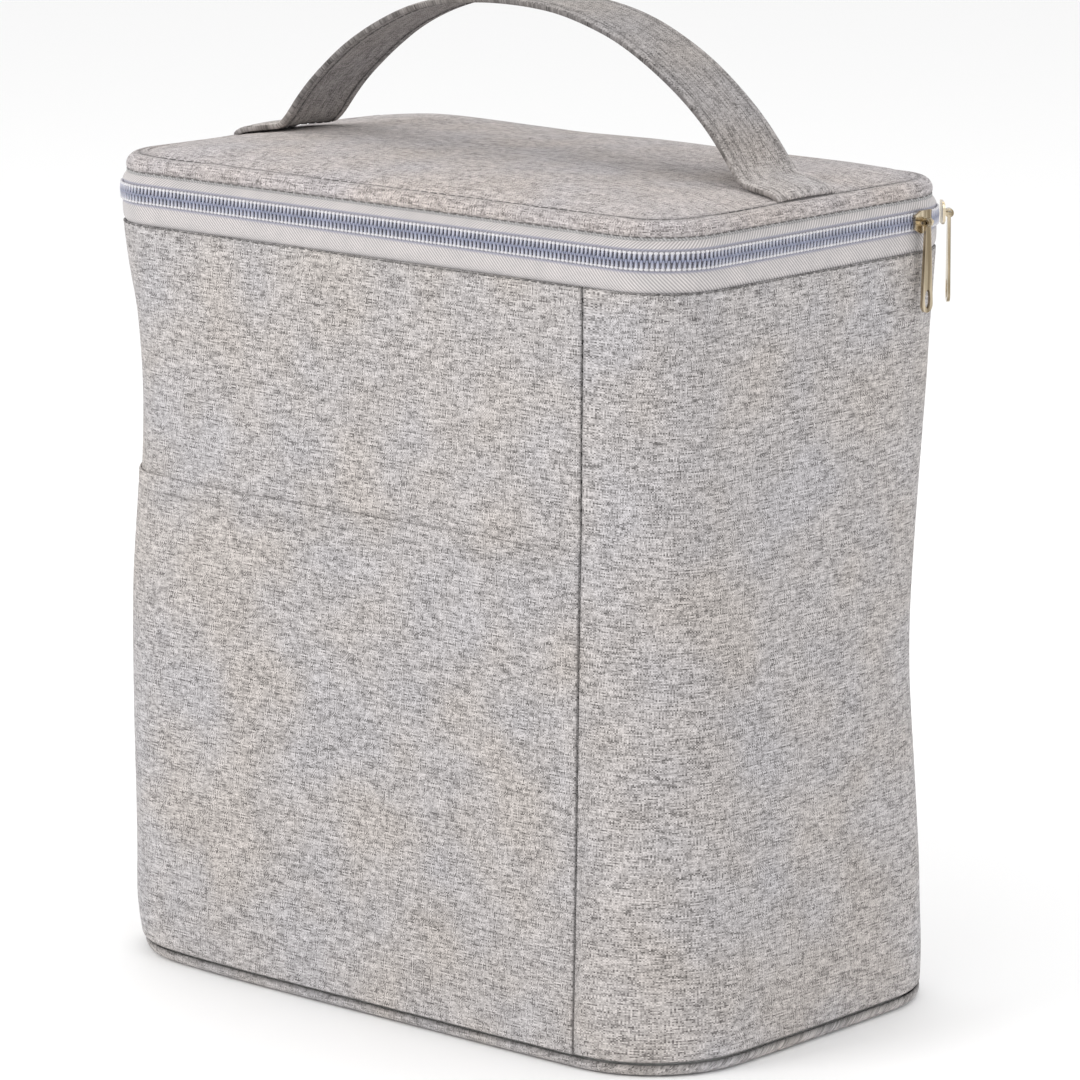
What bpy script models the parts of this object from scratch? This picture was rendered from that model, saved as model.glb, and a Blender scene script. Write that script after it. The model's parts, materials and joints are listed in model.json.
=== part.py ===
"""Insulated cooler bag: a soft box, a zip-round lid hinged along the back and a strap handle.

World axes, in metres: +X right, +Y towards the back hinge, +Z up. The origin is the middle
of the flat underside. Every wall layer is the same rounded outline, set in by its depth.
"""
import math

import bmesh
import bpy
from mathutils import Matrix, Vector

# The outer outline, which narrows a little from the base to the mouth.
BASE_HALF_X = 0.1230
BASE_HALF_Y = 0.0750
BASE_RADIUS = 0.0360
MOUTH_HALF_X = 0.1200
MOUTH_HALF_Y = 0.0715
MOUTH_RADIUS = 0.0220
MOUTH_Z = 0.2500  # the line where the two halves of the zip chain meet
SEAM_X = 0.0860  # the upright seams at the right front, the right back and the left back
LEFT_SEAM_Y = -0.0360  # the fourth, on the left side, as the front panel wraps its corner
CORNER_STEPS = 8
SMOOTH_ANGLE = 35  # degrees; sharper edges stay sharp

# Layers of the wall, from the outside in, and the clearance between them.
GAP = 0.0003
CLOTH = 0.0010
FOAM = 0.0040
LINER = 0.0006
FOAM_INSET = CLOTH + GAP
LINER_INSET = FOAM_INSET + FOAM + GAP

# Heights of the body.
BASE_RIM_Z = 0.0040
WALL_TOP_Z = 0.2405
BASE_FOAM_TOP_Z = 0.0060
POCKET_TOP_Z = 0.1600
POCKET_CLOTH = 0.0008

# The zip: fabric tape above and below, and a coil on each half.
TAPE = 0.0008
TAPE_HEIGHT = 0.0060
COIL_HALF_HEIGHT = 0.0030
COIL_PROUD = 0.0006
LID_SEAM_Z = 0.2575
ZIP_END = 60  # degrees round the back corners, counted from the sides
STOP_SPAN = (61.5, 68)
HINGE_START = 70
HINGE_Y = 0.0725

# The lid.
LID_INSET = 0.0042
LID_EDGE_Z = 0.2615
LID_CROWN_Z = 0.2670
DOME_SCALES = (0.3, 0.6, 0.8, 0.9, 1.0)  # shrunken copies of the outline that shape the dome
WELT_RADIUS = 0.0018
WELT_STEPS = 8
BINDING_HEIGHT = 0.0030

# The strap handle: a rounded arch that stands on two flat sewn ends.
HANDLE_CENTRE_X = 0.0030
HANDLE_HALF_SPAN = 0.0935
HANDLE_RISE = 0.0445
HANDLE_POWER = 2.4
HANDLE_WIDTH = 0.0270
HANDLE_THICKNESS = 0.0022
HANDLE_ROOT_RISE = 0.0180
HANDLE_END_X = 0.1148
HANDLE_END_THICKNESS = 0.0016
ARCH_STEPS = 30
ROOT_STEPS = 5
HANDLE_END_STEPS = 5

# The sliders and their pull tabs.
SLIDER_LENGTH = 0.0080
SLIDER_HALF_HEIGHT = 0.0035
SLIDER_PLATE = 0.0008
NOSE_SHARE = 0.6  # half height of the nose, as a share of the slider's
SHOULDER_SHARE = 0.3  # where the full height starts, as a share of half the length
SLIDER_CLEARANCE = 0.0008
SLIDER_A_Y = 0.0470
SLIDER_B_ANGLE = 45
CROWN_REACH = 0.0024
CROWN_BAR = 0.0009
CROWN_HALF_SPAN = 0.0026
EYE_BORE = 0.00075
EYE_RADIUS = 0.0014
EYE_HALF_WIDTH = 0.0012
TAB_LENGTH = 0.0280
TAB_HALF_WIDTH = 0.0026
TAB_THICKNESS = 0.0009
TAB_END_STEPS = 12
EYE_STEPS = 20
HOLE_HALF_WIDTH = 0.0014
HOLE_HALF_LENGTH = 0.0030
HOLE_RISE = 0.0016  # above the centre of the tab's round end
HOLE_STEPS = 16

GREY_CLOTH = ((0.52, 0.50, 0.49), 0.90, 0.0)
TAPE_CLOTH = ((0.60, 0.58, 0.58), 0.75, 0.0)
COIL_NYLON = ((0.45, 0.46, 0.55), 0.45, 0.0)
WHITE_FOAM = ((0.85, 0.85, 0.83), 0.95, 0.0)
SILVER_LINER = ((0.72, 0.73, 0.75), 0.35, 0.4)
PALE_METAL = ((0.78, 0.72, 0.60), 0.25, 1.0)


def clear_scene():
    """Remove every object that is already in the file."""
    for item in list(bpy.data.objects):
        bpy.data.objects.remove(item)


def make_object(name, mesh, look):
    """Link a mesh as a named object with a material of its own."""
    colour, roughness, metallic = look
    material = bpy.data.materials.new(name)
    material.use_nodes = True
    shader = material.node_tree.nodes["Principled BSDF"]
    shader.inputs["Base Color"].default_value = (*colour, 1.0)
    shader.inputs["Roughness"].default_value = roughness
    shader.inputs["Metallic"].default_value = metallic
    mesh.materials.append(material)
    mesh.shade_smooth()
    mesh.set_sharp_from_angle(angle=math.radians(SMOOTH_ANGLE))
    item = bpy.data.objects.new(name, mesh)
    bpy.context.collection.objects.link(item)
    return item


def skin(name, loops, look, closed=False):
    """Join a run of matching point loops into one closed solid."""
    shape = bmesh.new()
    rows = [[shape.verts.new(point) for point in loop] for loop in loops]
    count = len(rows[0])
    pairs = list(zip(rows, rows[1:]))
    if closed:
        pairs.append((rows[-1], rows[0]))
    for near, far in pairs:
        for index in range(count):
            after = (index + 1) % count
            shape.faces.new((near[index], near[after], far[after], far[index]))
    if not closed:
        shape.faces.new(rows[0])
        shape.faces.new(rows[-1])
    bmesh.ops.recalc_face_normals(shape, faces=shape.faces)
    mesh = bpy.data.meshes.new(name)
    shape.to_mesh(mesh)
    shape.free()
    return make_object(name, mesh, look)


# Stands a flat (x, y) outline up: its x runs along the zip, its y up and its thickness outwards.
UPRIGHT = Matrix(((0, 0, 1, 0), (1, 0, 0, 0), (0, 1, 0, 0), (0, 0, 0, 1)))


def extrude(name, outline, depth, frame, look):
    """Push a flat outline of (x, y) points from -depth to +depth along z, in its own frame."""
    loops = [[frame @ Vector((x, y, z)) for x, y in outline] for z in (-depth, depth)]
    return skin(name, loops, look)


def combine(item, tool, operation):
    """Add or cut one solid with another, which then only guides the shape."""
    step = item.modifiers.new(operation.title(), "BOOLEAN")
    step.operation = operation
    step.solver = "EXACT"
    step.object = tool
    tool.hide_render = True
    tool.display_type = "WIRE"


# The rounded outline. A station is a place along it: (side_x, side_y, angle) on a corner,
# (x, side_y, None) on the straight front or back, or (side_x, y, STRAIGHT_SIDE) on a side.
STRAIGHT_SIDE = "side"


def arc(side_x, side_y, first, last):
    """Stations along one corner, between two angles in degrees."""
    steps = max(2, round(CORNER_STEPS * abs(last - first) / 90))
    return [(side_x, side_y, first + (last - first) * step / steps) for step in range(steps + 1)]


def outline_point(station, z, inset, scale=1.0):
    """The point of a station on the outline at one height and depth."""
    blend = min(z / MOUTH_Z, 1.0)
    half_x = BASE_HALF_X + (MOUTH_HALF_X - BASE_HALF_X) * blend - inset
    half_y = BASE_HALF_Y + (MOUTH_HALF_Y - BASE_HALF_Y) * blend - inset
    radius = BASE_RADIUS + (MOUTH_RADIUS - BASE_RADIUS) * blend - inset
    across, along, angle = station
    if angle is None:
        return Vector((across * scale, along * half_y * scale, z))
    if angle == STRAIGHT_SIDE:
        return Vector((across * half_x * scale, along * scale, z))
    turn = math.radians(angle)
    x = across * (half_x - radius) + radius * math.cos(turn)
    y = along * (half_y - radius) + radius * math.sin(turn)
    return Vector((x * scale, y * scale, z))


RIGHT_FRONT = arc(1, -1, -90, 0)
RIGHT_BACK = arc(1, 1, 0, 90)
LEFT_BACK = arc(-1, 1, 90, 180)
LEFT_FRONT = arc(-1, -1, 180, 270)
ALL_ROUND = RIGHT_FRONT + RIGHT_BACK + LEFT_BACK + LEFT_FRONT
FRONT = [(-1, LEFT_SEAM_Y - GAP / 2, STRAIGHT_SIDE)] + LEFT_FRONT + [(SEAM_X - GAP / 2, -1, None)]
BACK = [(SEAM_X - GAP / 2, 1, None), (-SEAM_X + GAP / 2, 1, None)]
RIGHT = [(SEAM_X + GAP / 2, -1, None)] + RIGHT_FRONT + RIGHT_BACK + [(SEAM_X + GAP / 2, 1, None)]
LEFT = [(-SEAM_X - GAP / 2, 1, None)] + LEFT_BACK + [(-1, LEFT_SEAM_Y + GAP / 2, STRAIGHT_SIDE)]


def zip_run(end):
    """Stations from the left back corner round the front to the right back corner."""
    return arc(-1, 1, 180 - end, 180) + LEFT_FRONT + RIGHT_FRONT + arc(1, 1, 0, end)


def wall(name, stations, levels, look, closed=False):
    """A wall along the outline. Each level is (z, outer inset, inner inset)."""
    loops = []
    for station in stations:
        outer = [outline_point(station, z, out) for z, out, _ in levels]
        inner = [outline_point(station, z, depth) for z, _, depth in reversed(levels)]
        loops.append(outer + inner)
    return skin(name, loops, look, closed)


def flat_wall(name, stations, low, high, outer, inner, look, closed=False):
    """A wall of even thickness between two heights."""
    return wall(name, stations, [(low, outer, inner), (high, outer, inner)], look, closed)


def lid_height(scale):
    """Height of the lid's outer face, flat in the middle and falling away to its edge."""
    return LID_EDGE_Z + (LID_CROWN_Z - LID_EDGE_Z) * (1 - scale ** 4)


def lid_sheet(name, inset, drop, thickness, look):
    """One domed layer of the lid, its top face a set distance below the outer face."""
    below = [(scale, lid_height(scale) - drop - thickness) for scale in DOME_SCALES]
    above = [(scale, lid_height(scale) - drop) for scale in reversed(DOME_SCALES)]
    loops = []
    for scale, z in below + above:
        loops.append([outline_point(station, z, inset, scale) for station in ALL_ROUND])
    return skin(name, loops, look)


def build_shell():
    """The outer fabric: base, four panels and the slip pocket on the front."""
    profile = [(0.0, 0.0), (0.0, BASE_RIM_Z), (CLOTH, BASE_RIM_Z), (CLOTH, CLOTH)]
    rings = [[outline_point(station, z, inset) for station in ALL_ROUND] for inset, z in profile]
    skin("base_panel", rings, GREY_CLOTH)
    low = BASE_RIM_Z + GAP
    panels = {"front_panel": FRONT, "back_panel": BACK, "left_side_panel": LEFT, "right_side_panel": RIGHT}
    for name, stations in panels.items():
        flat_wall(name, stations, low, WALL_TOP_Z, 0.0, CLOTH, GREY_CLOTH)
    flat_wall("front_pocket", FRONT, low, POCKET_TOP_Z, -GAP - POCKET_CLOTH, -GAP, GREY_CLOTH)


def build_insulation():
    """The foam sheets, the cup-shaped liner inside them and the binding round its edge."""
    rings = []
    for z in (CLOTH + GAP, BASE_FOAM_TOP_Z):
        rings.append([outline_point(station, z, FOAM_INSET) for station in ALL_ROUND])
    skin("base_foam", rings, WHITE_FOAM)
    low = BASE_FOAM_TOP_Z + GAP
    sheets = {"front_foam": FRONT, "back_foam": BACK, "left_foam": LEFT, "right_foam": RIGHT}
    for name, stations in sheets.items():
        flat_wall(name, stations, low, WALL_TOP_Z, FOAM_INSET, FOAM_INSET + FOAM, WHITE_FOAM)
    inside = LINER_INSET + LINER
    profile = [(LINER_INSET, low), (LINER_INSET, WALL_TOP_Z), (inside, WALL_TOP_Z), (inside, low + LINER)]
    rings = [[outline_point(station, z, inset) for station in ALL_ROUND] for inset, z in profile]
    skin("liner", rings, SILVER_LINER)
    low = WALL_TOP_Z + GAP
    high = low + BINDING_HEIGHT
    flat_wall("mouth_binding", ALL_ROUND, low, high, FOAM_INSET + TAPE, inside, TAPE_CLOTH, closed=True)


def build_body_zip():
    """The lower half of the zip, its end stops and the strip that the lid folds along."""
    low = WALL_TOP_Z + GAP
    coil_low = low + TAPE_HEIGHT + GAP
    coil_high = MOUTH_Z - GAP / 2
    flat_wall("body_zip_tape", zip_run(STOP_SPAN[1]), low, low + TAPE_HEIGHT, 0.0, TAPE, TAPE_CLOTH)
    flat_wall("body_zip_coil", zip_run(ZIP_END), coil_low, coil_high, -COIL_PROUD, TAPE, COIL_NYLON)
    first, last = STOP_SPAN
    flat_wall("zip_stop_right", arc(1, 1, first, last), coil_low, coil_high, -COIL_PROUD, TAPE, PALE_METAL)
    left_stop = arc(-1, 1, 180 - last, 180 - first)
    flat_wall("zip_stop_left", left_stop, coil_low, coil_high, -COIL_PROUD, TAPE, PALE_METAL)
    hinge = arc(1, 1, HINGE_START, 90) + arc(-1, 1, 90, 180 - HINGE_START)
    flat_wall("back_hinge_strip", hinge, low, LID_SEAM_Z, 0.0, TAPE, GREY_CLOTH)


def build_lid():
    """The lid's zip half, its piped edge and its layers. Returns all its objects."""
    coil_low = MOUTH_Z + GAP / 2
    tape_low = MOUTH_Z + COIL_HALF_HEIGHT + GAP
    run = zip_run(STOP_SPAN[1])
    pieces = [
        flat_wall("lid_zip_coil", zip_run(ZIP_END), coil_low, tape_low - GAP, -COIL_PROUD, TAPE, COIL_NYLON),
        flat_wall("lid_zip_tape", run, tape_low, LID_SEAM_Z, 0.0, TAPE, TAPE_CLOTH),
    ]
    middle_z = LID_SEAM_Z + GAP + WELT_RADIUS
    section = []
    for step in range(WELT_STEPS):
        turn = 2 * math.pi * (step + 0.5) / WELT_STEPS
        section.append((WELT_RADIUS * math.cos(turn), middle_z + WELT_RADIUS * math.sin(turn)))
    loops = []
    for station in ALL_ROUND:
        loops.append([outline_point(station, z, WELT_RADIUS + inset) for inset, z in section])
    pieces.append(skin("lid_welt", loops, GREY_CLOTH, closed=True))
    pieces.append(lid_sheet("lid_top_panel", LID_INSET, 0.0, CLOTH, GREY_CLOTH))
    foam_drop = CLOTH + GAP
    pieces.append(lid_sheet("lid_foam", LID_INSET, foam_drop, FOAM, WHITE_FOAM))
    pieces.append(lid_sheet("lid_liner", LID_INSET, foam_drop + FOAM + GAP, LINER, SILVER_LINER))
    pieces.append(
        flat_wall("lid_binding", ALL_ROUND, LID_SEAM_Z - BINDING_HEIGHT, LID_SEAM_Z, TAPE + GAP,
                  LID_INSET - GAP, TAPE_CLOTH, closed=True)
    )
    return pieces


def handle_foot_z():
    """Height where the handle rises out of its flat sewn ends, clear of the higher left one."""
    inner_x = HANDLE_HALF_SPAN - HANDLE_CENTRE_X - HANDLE_THICKNESS
    return lid_height(inner_x / (MOUTH_HALF_X - LID_INSET)) + HANDLE_END_THICKNESS + HANDLE_THICKNESS / 2


def strap_point(share):
    """A point on the arch's middle line; share runs from -1 at the left foot to 1 at the right."""
    up = 1 - abs(share) ** HANDLE_POWER
    return Vector((HANDLE_CENTRE_X + HANDLE_HALF_SPAN * share, 0.0, handle_foot_z() + HANDLE_RISE * up))


def strap(name, first, last, steps):
    """A stretch of the strap between two shares of the arch."""
    loops = []
    for step in range(steps + 1):
        share = first + (last - first) * step / steps
        tangent = strap_point(share + 0.001) - strap_point(share - 0.001)
        outward = Vector((-tangent.z, 0.0, tangent.x)).normalized() * HANDLE_THICKNESS / 2
        across = Vector((0.0, HANDLE_WIDTH / 2, 0.0))
        middle = strap_point(share)
        loops.append([
            middle + outward + across,
            middle + outward - across,
            middle - outward - across,
            middle - outward + across,
        ])
    return skin(name, loops, GREY_CLOTH)


def handle_end(name, side):
    """One flat end of the strap, sewn down on the lid from the foot out to the welt."""
    inner = HANDLE_HALF_SPAN + side * HANDLE_CENTRE_X - HANDLE_THICKNESS / 2
    loops = []
    for step in range(HANDLE_END_STEPS + 1):
        x = inner + (HANDLE_END_X - inner) * step / HANDLE_END_STEPS
        low = lid_height(x / (MOUTH_HALF_X - LID_INSET)) + GAP
        high = low + HANDLE_END_THICKNESS - GAP
        edge = HANDLE_WIDTH / 2
        corners = [(-edge, low), (edge, low), (edge, high), (-edge, high)]
        loops.append([Vector((side * x, y, z)) for y, z in corners])
    return skin(name, loops, GREY_CLOTH)


def build_handle():
    """The arch, and the short roots that bend when it leans."""
    split = (1 - HANDLE_ROOT_RISE / HANDLE_RISE) ** (1 / HANDLE_POWER)
    clear = GAP / HANDLE_HALF_SPAN
    roots = [
        strap("handle_root_right", split + clear, 1.0, ROOT_STEPS),
        strap("handle_root_left", -1.0, -split - clear, ROOT_STEPS),
    ]
    return roots, strap("handle_strap", -split, split, ARCH_STEPS)


def slider(name, frame):
    """A slider: a shield-shaped plate over the chain and a crown that holds the pull."""
    half = SLIDER_LENGTH / 2
    high = SLIDER_HALF_HEIGHT
    shield = [(-half, -high * NOSE_SHARE), (-half * SHOULDER_SHARE, -high), (half, -high)]
    shield += [(y, -z) for y, z in reversed(shield)]
    middle = Matrix.Translation((SLIDER_PLATE / 2, 0, 0))
    plate = extrude(name, shield, SLIDER_PLATE / 2, frame @ middle @ UPRIGHT, PALE_METAL)
    inside = CROWN_HALF_SPAN - CROWN_BAR
    top = CROWN_REACH + CROWN_BAR / 2
    root = SLIDER_PLATE / 2
    bridge = [
        (root, -CROWN_HALF_SPAN), (top, -CROWN_HALF_SPAN), (top, CROWN_HALF_SPAN), (root, CROWN_HALF_SPAN),
        (root, inside), (top - CROWN_BAR, inside), (top - CROWN_BAR, -inside), (root, -inside),
    ]
    crown = extrude(name + "_crown_guide", bridge, CROWN_BAR / 2, frame, PALE_METAL)
    combine(plate, crown, "UNION")
    return plate


def pull_tab(name, frame):
    """A pull tab: an eye round the crown's bar, a tapered tab and an oval hole near its end."""
    eye_loops = []
    for step in range(EYE_STEPS):
        turn = 2 * math.pi * step / EYE_STEPS
        ring = []
        for radius, y in ((EYE_BORE, -1), (EYE_RADIUS, -1), (EYE_RADIUS, 1), (EYE_BORE, 1)):
            point = Vector((radius * math.cos(turn), y * EYE_HALF_WIDTH, radius * math.sin(turn)))
            ring.append(frame @ point)
        eye_loops.append(ring)
    eye = skin(name, eye_loops, PALE_METAL, closed=True)
    shoulder = -(EYE_BORE + EYE_RADIUS) / 2
    outline = [(-EYE_HALF_WIDTH, shoulder), (EYE_HALF_WIDTH, shoulder)]
    end_centre = -TAB_LENGTH + TAB_HALF_WIDTH
    for step in range(TAB_END_STEPS + 1):
        turn = -math.pi * step / TAB_END_STEPS
        outline.append((TAB_HALF_WIDTH * math.cos(turn), end_centre + TAB_HALF_WIDTH * math.sin(turn)))
    tab = extrude(name + "_tab_guide", outline, TAB_THICKNESS / 2, frame @ UPRIGHT, PALE_METAL)
    hole = []
    for step in range(HOLE_STEPS):
        turn = 2 * math.pi * step / HOLE_STEPS
        height = end_centre + HOLE_RISE + HOLE_HALF_LENGTH * math.sin(turn)
        hole.append((HOLE_HALF_WIDTH * math.cos(turn), height))
    cutter = extrude(name + "_hole_guide", hole, TAB_THICKNESS, frame @ UPRIGHT, PALE_METAL)
    combine(eye, tab, "UNION")
    combine(eye, cutter, "DIFFERENCE")
    return eye


def pivot(name, location, parent=None):
    """An empty on a joint's axis."""
    empty = bpy.data.objects.new(name, None)
    empty.empty_display_size = 0.01
    empty.location = location
    bpy.context.collection.objects.link(empty)
    if parent:
        hang(empty, parent)
    return empty


def hang(item, parent):
    """Parent an object without moving it."""
    bpy.context.view_layer.update()
    item.parent = parent
    item.matrix_parent_inverse = parent.matrix_world.inverted()


def build_sliders():
    """Slider a on the right side's straight run, slider b round the back right corner."""
    reach = COIL_PROUD + SLIDER_CLEARANCE
    corner = Vector((MOUTH_HALF_X - MOUTH_RADIUS, MOUTH_HALF_Y - MOUTH_RADIUS, MOUTH_Z))
    face_a = Vector((MOUTH_HALF_X + reach, SLIDER_A_Y, MOUTH_Z))
    turn_b = Matrix.Rotation(math.radians(SLIDER_B_ANGLE), 4, "Z")
    face_b = corner + turn_b @ Vector((MOUTH_RADIUS + reach, 0, 0))
    places = {
        "a": (Matrix.Translation(face_a), face_a),
        "b": (Matrix.Translation(face_b) @ turn_b, corner),
    }
    for letter, (frame, axis_point) in places.items():
        eye_frame = frame @ Matrix.Translation((CROWN_REACH, 0, 0))
        slider_pivot = pivot("slider_" + letter + "_axis", axis_point)
        hang(slider("slider_" + letter, frame), slider_pivot)
        pull_pivot = pivot("pull_" + letter + "_axis", eye_frame.translation, slider_pivot)
        hang(pull_tab("pull_" + letter, eye_frame), pull_pivot)


def build_bag():
    """Build every piece and hang the moving ones on their axes."""
    clear_scene()
    build_shell()
    build_insulation()
    build_body_zip()
    lid_axis = pivot("lid_axis", (0.0, HINGE_Y, MOUTH_Z))
    handle_axis = pivot("handle_axis", (0.0, 0.0, handle_foot_z()), lid_axis)
    lid_pieces = build_lid()
    roots, arch = build_handle()
    lid_pieces += roots
    lid_pieces.append(handle_end("handle_end_right", 1))
    lid_pieces.append(handle_end("handle_end_left", -1))
    for piece in lid_pieces:
        hang(piece, lid_axis)
    hang(arch, handle_axis)
    build_sliders()


build_bag()
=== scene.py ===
import json
import math

import bmesh
import bpy
import numpy as np
from mathutils import Matrix, Vector, noise

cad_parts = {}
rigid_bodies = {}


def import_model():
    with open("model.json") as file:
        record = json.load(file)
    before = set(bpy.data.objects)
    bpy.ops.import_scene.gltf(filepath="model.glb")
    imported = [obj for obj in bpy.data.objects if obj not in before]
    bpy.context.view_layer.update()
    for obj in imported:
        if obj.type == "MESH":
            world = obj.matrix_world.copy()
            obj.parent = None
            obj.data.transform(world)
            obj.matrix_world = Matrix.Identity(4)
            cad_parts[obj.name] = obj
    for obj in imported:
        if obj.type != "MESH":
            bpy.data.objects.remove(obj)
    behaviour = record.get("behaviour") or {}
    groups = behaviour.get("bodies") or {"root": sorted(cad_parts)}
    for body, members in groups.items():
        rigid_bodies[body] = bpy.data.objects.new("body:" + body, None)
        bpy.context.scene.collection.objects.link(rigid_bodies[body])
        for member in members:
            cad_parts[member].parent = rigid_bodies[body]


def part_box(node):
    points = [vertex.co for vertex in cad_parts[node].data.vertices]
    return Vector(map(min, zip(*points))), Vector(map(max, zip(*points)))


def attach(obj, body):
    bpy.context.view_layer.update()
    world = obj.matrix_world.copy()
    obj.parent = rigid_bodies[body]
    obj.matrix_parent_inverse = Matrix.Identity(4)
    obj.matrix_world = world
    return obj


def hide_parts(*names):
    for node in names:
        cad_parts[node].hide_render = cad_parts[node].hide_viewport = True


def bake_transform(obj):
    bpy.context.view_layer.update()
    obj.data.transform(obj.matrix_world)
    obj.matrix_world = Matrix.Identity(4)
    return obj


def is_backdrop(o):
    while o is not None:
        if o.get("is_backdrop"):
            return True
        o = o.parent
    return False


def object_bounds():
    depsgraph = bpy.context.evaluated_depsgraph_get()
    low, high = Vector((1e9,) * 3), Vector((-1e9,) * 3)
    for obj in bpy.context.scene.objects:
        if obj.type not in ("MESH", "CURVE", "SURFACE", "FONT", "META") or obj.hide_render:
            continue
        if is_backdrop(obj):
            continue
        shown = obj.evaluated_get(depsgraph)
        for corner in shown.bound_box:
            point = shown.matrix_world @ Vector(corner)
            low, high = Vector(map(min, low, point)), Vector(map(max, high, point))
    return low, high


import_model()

cad_low, cad_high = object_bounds()


# ---- Camera, light and floor ---------------------------------------------------------------
# A long lens from the front right, a little above the lid. One large soft light stands over
# the front, a weaker one fills the right side, and the floor is plain and pale.

camera_data = bpy.data.cameras.new("camera")
camera_data.lens = 187.4
camera_data.sensor_width = 36.0
camera_data.shift_x = 0.0154
camera_data.shift_y = -0.0092
camera = bpy.data.objects.new("camera", camera_data)
bpy.context.scene.collection.objects.link(camera)
azimuth = math.radians(41.43)
elevation = math.radians(11.71)
aim = Vector((0.0, 0.0, 0.144))
back_off = Vector((
    math.sin(azimuth) * math.cos(elevation),
    -math.cos(azimuth) * math.cos(elevation),
    math.sin(elevation),
))
camera.location = aim + back_off * 1.7905
camera.rotation_euler = (-back_off).to_track_quat("-Z", "Y").to_euler()
bpy.context.scene.camera = camera


def soft_light(name, place, size, power, tint):
    """A square light that faces the middle of the bag."""
    data = bpy.data.lights.new(name, "AREA")
    data.shape = "SQUARE"
    data.size = size
    data.energy = power
    data.color = tint
    light = bpy.data.objects.new(name, data)
    light.location = place
    light.rotation_euler = (aim - light.location).to_track_quat("-Z", "Y").to_euler()
    bpy.context.scene.collection.objects.link(light)


soft_light("front_light", Vector((-0.7, -1.8, 1.1)), 0.9, 19.0, (1.0, 0.99, 0.975))
soft_light("right_light", Vector((1.9, -0.2, 0.7)), 0.9, 7.0, (0.97, 0.98, 1.0))
soft_light("top_light", Vector((-0.2, 0.4, 1.9)), 0.9, 6.0, (1.0, 0.99, 0.98))

world = bpy.data.worlds.new("studio")
world.use_nodes = True
world.node_tree.nodes["Background"].inputs["Color"].default_value = (1.0, 1.0, 1.0, 1.0)
world.node_tree.nodes["Background"].inputs["Strength"].default_value = 0.97
bpy.context.scene.world = world
bpy.context.scene.view_settings.view_transform = "Standard"

floor_mesh = bpy.data.meshes.new("floor")
floor_mesh.from_pydata([(-6, -6, 0), (6, -6, 0), (6, 6, 0), (-6, 6, 0)], [], [(0, 1, 2, 3)])
floor = bpy.data.objects.new("floor", floor_mesh)
floor.location.z = -0.0002
bpy.context.scene.collection.objects.link(floor)
floor_paint = bpy.data.materials.new("floor_paint")
floor_paint.use_nodes = True
floor_shader = floor_paint.node_tree.nodes["Principled BSDF"]
floor_shader.inputs["Base Color"].default_value = (0.93, 0.93, 0.93, 1.0)
floor_shader.inputs["Roughness"].default_value = 0.7
floor_mesh.materials.append(floor_paint)
floor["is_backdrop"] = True


# ---- Melange cloth panels ------------------------------------------------------------------
# Front, back and two side panels of woven grey melange cloth over foam, each rolled inwards
# at its seams. The corners sag in between base and mouth, as an empty soft bag's do.

SEAM_X = 0.0860
LEFT_SEAM_Y = -0.0360
SEAM_RIMS = (0.00005, 0.0003, 0.0007, 0.0013, 0.0024)
BASE_RADIUS = 0.0360
MOUTH_RADIUS = 0.0220
LID_INSET = 0.0042
CLOTH = 0.0009
base_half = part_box("base_panel")[1]
mouth_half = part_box("lid_top_panel")[1] + Vector((LID_INSET, LID_INSET, 0.0))
chain_z = (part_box("body_zip_coil")[1].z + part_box("lid_zip_coil")[0].z) / 2


def swell(z, middle, reach):
    """A smooth hump along the height, 1 at its middle."""
    return math.exp(-(((z - middle) / reach) ** 2))


def corner_sag(side_x, side_y, z):
    """How far each corner has sunk in at a height, in metres."""
    settle = min(max(z / 0.03, 0.0), 1.0)
    tuck = 0.0030 if side_x < 0 and side_y < 0 else 0.0008
    if (side_x, side_y) == (1, 1):
        return tuck * swell(z, 0.0, 0.010) + settle * (0.0050 * swell(z, 0.125, 0.075) + 0.0008)
    if (side_x, side_y) == (-1, -1):
        return tuck * swell(z, 0.0, 0.012) + settle * (0.0042 * swell(z, 0.182, 0.045) + 0.0014)
    if (side_x, side_y) == (1, -1):
        return tuck * swell(z, 0.0, 0.010) + settle * 0.0016 * swell(z, 0.130, 0.080)
    return tuck * swell(z, 0.0, 0.010) + settle * 0.0030 * swell(z, 0.150, 0.070)


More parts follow.
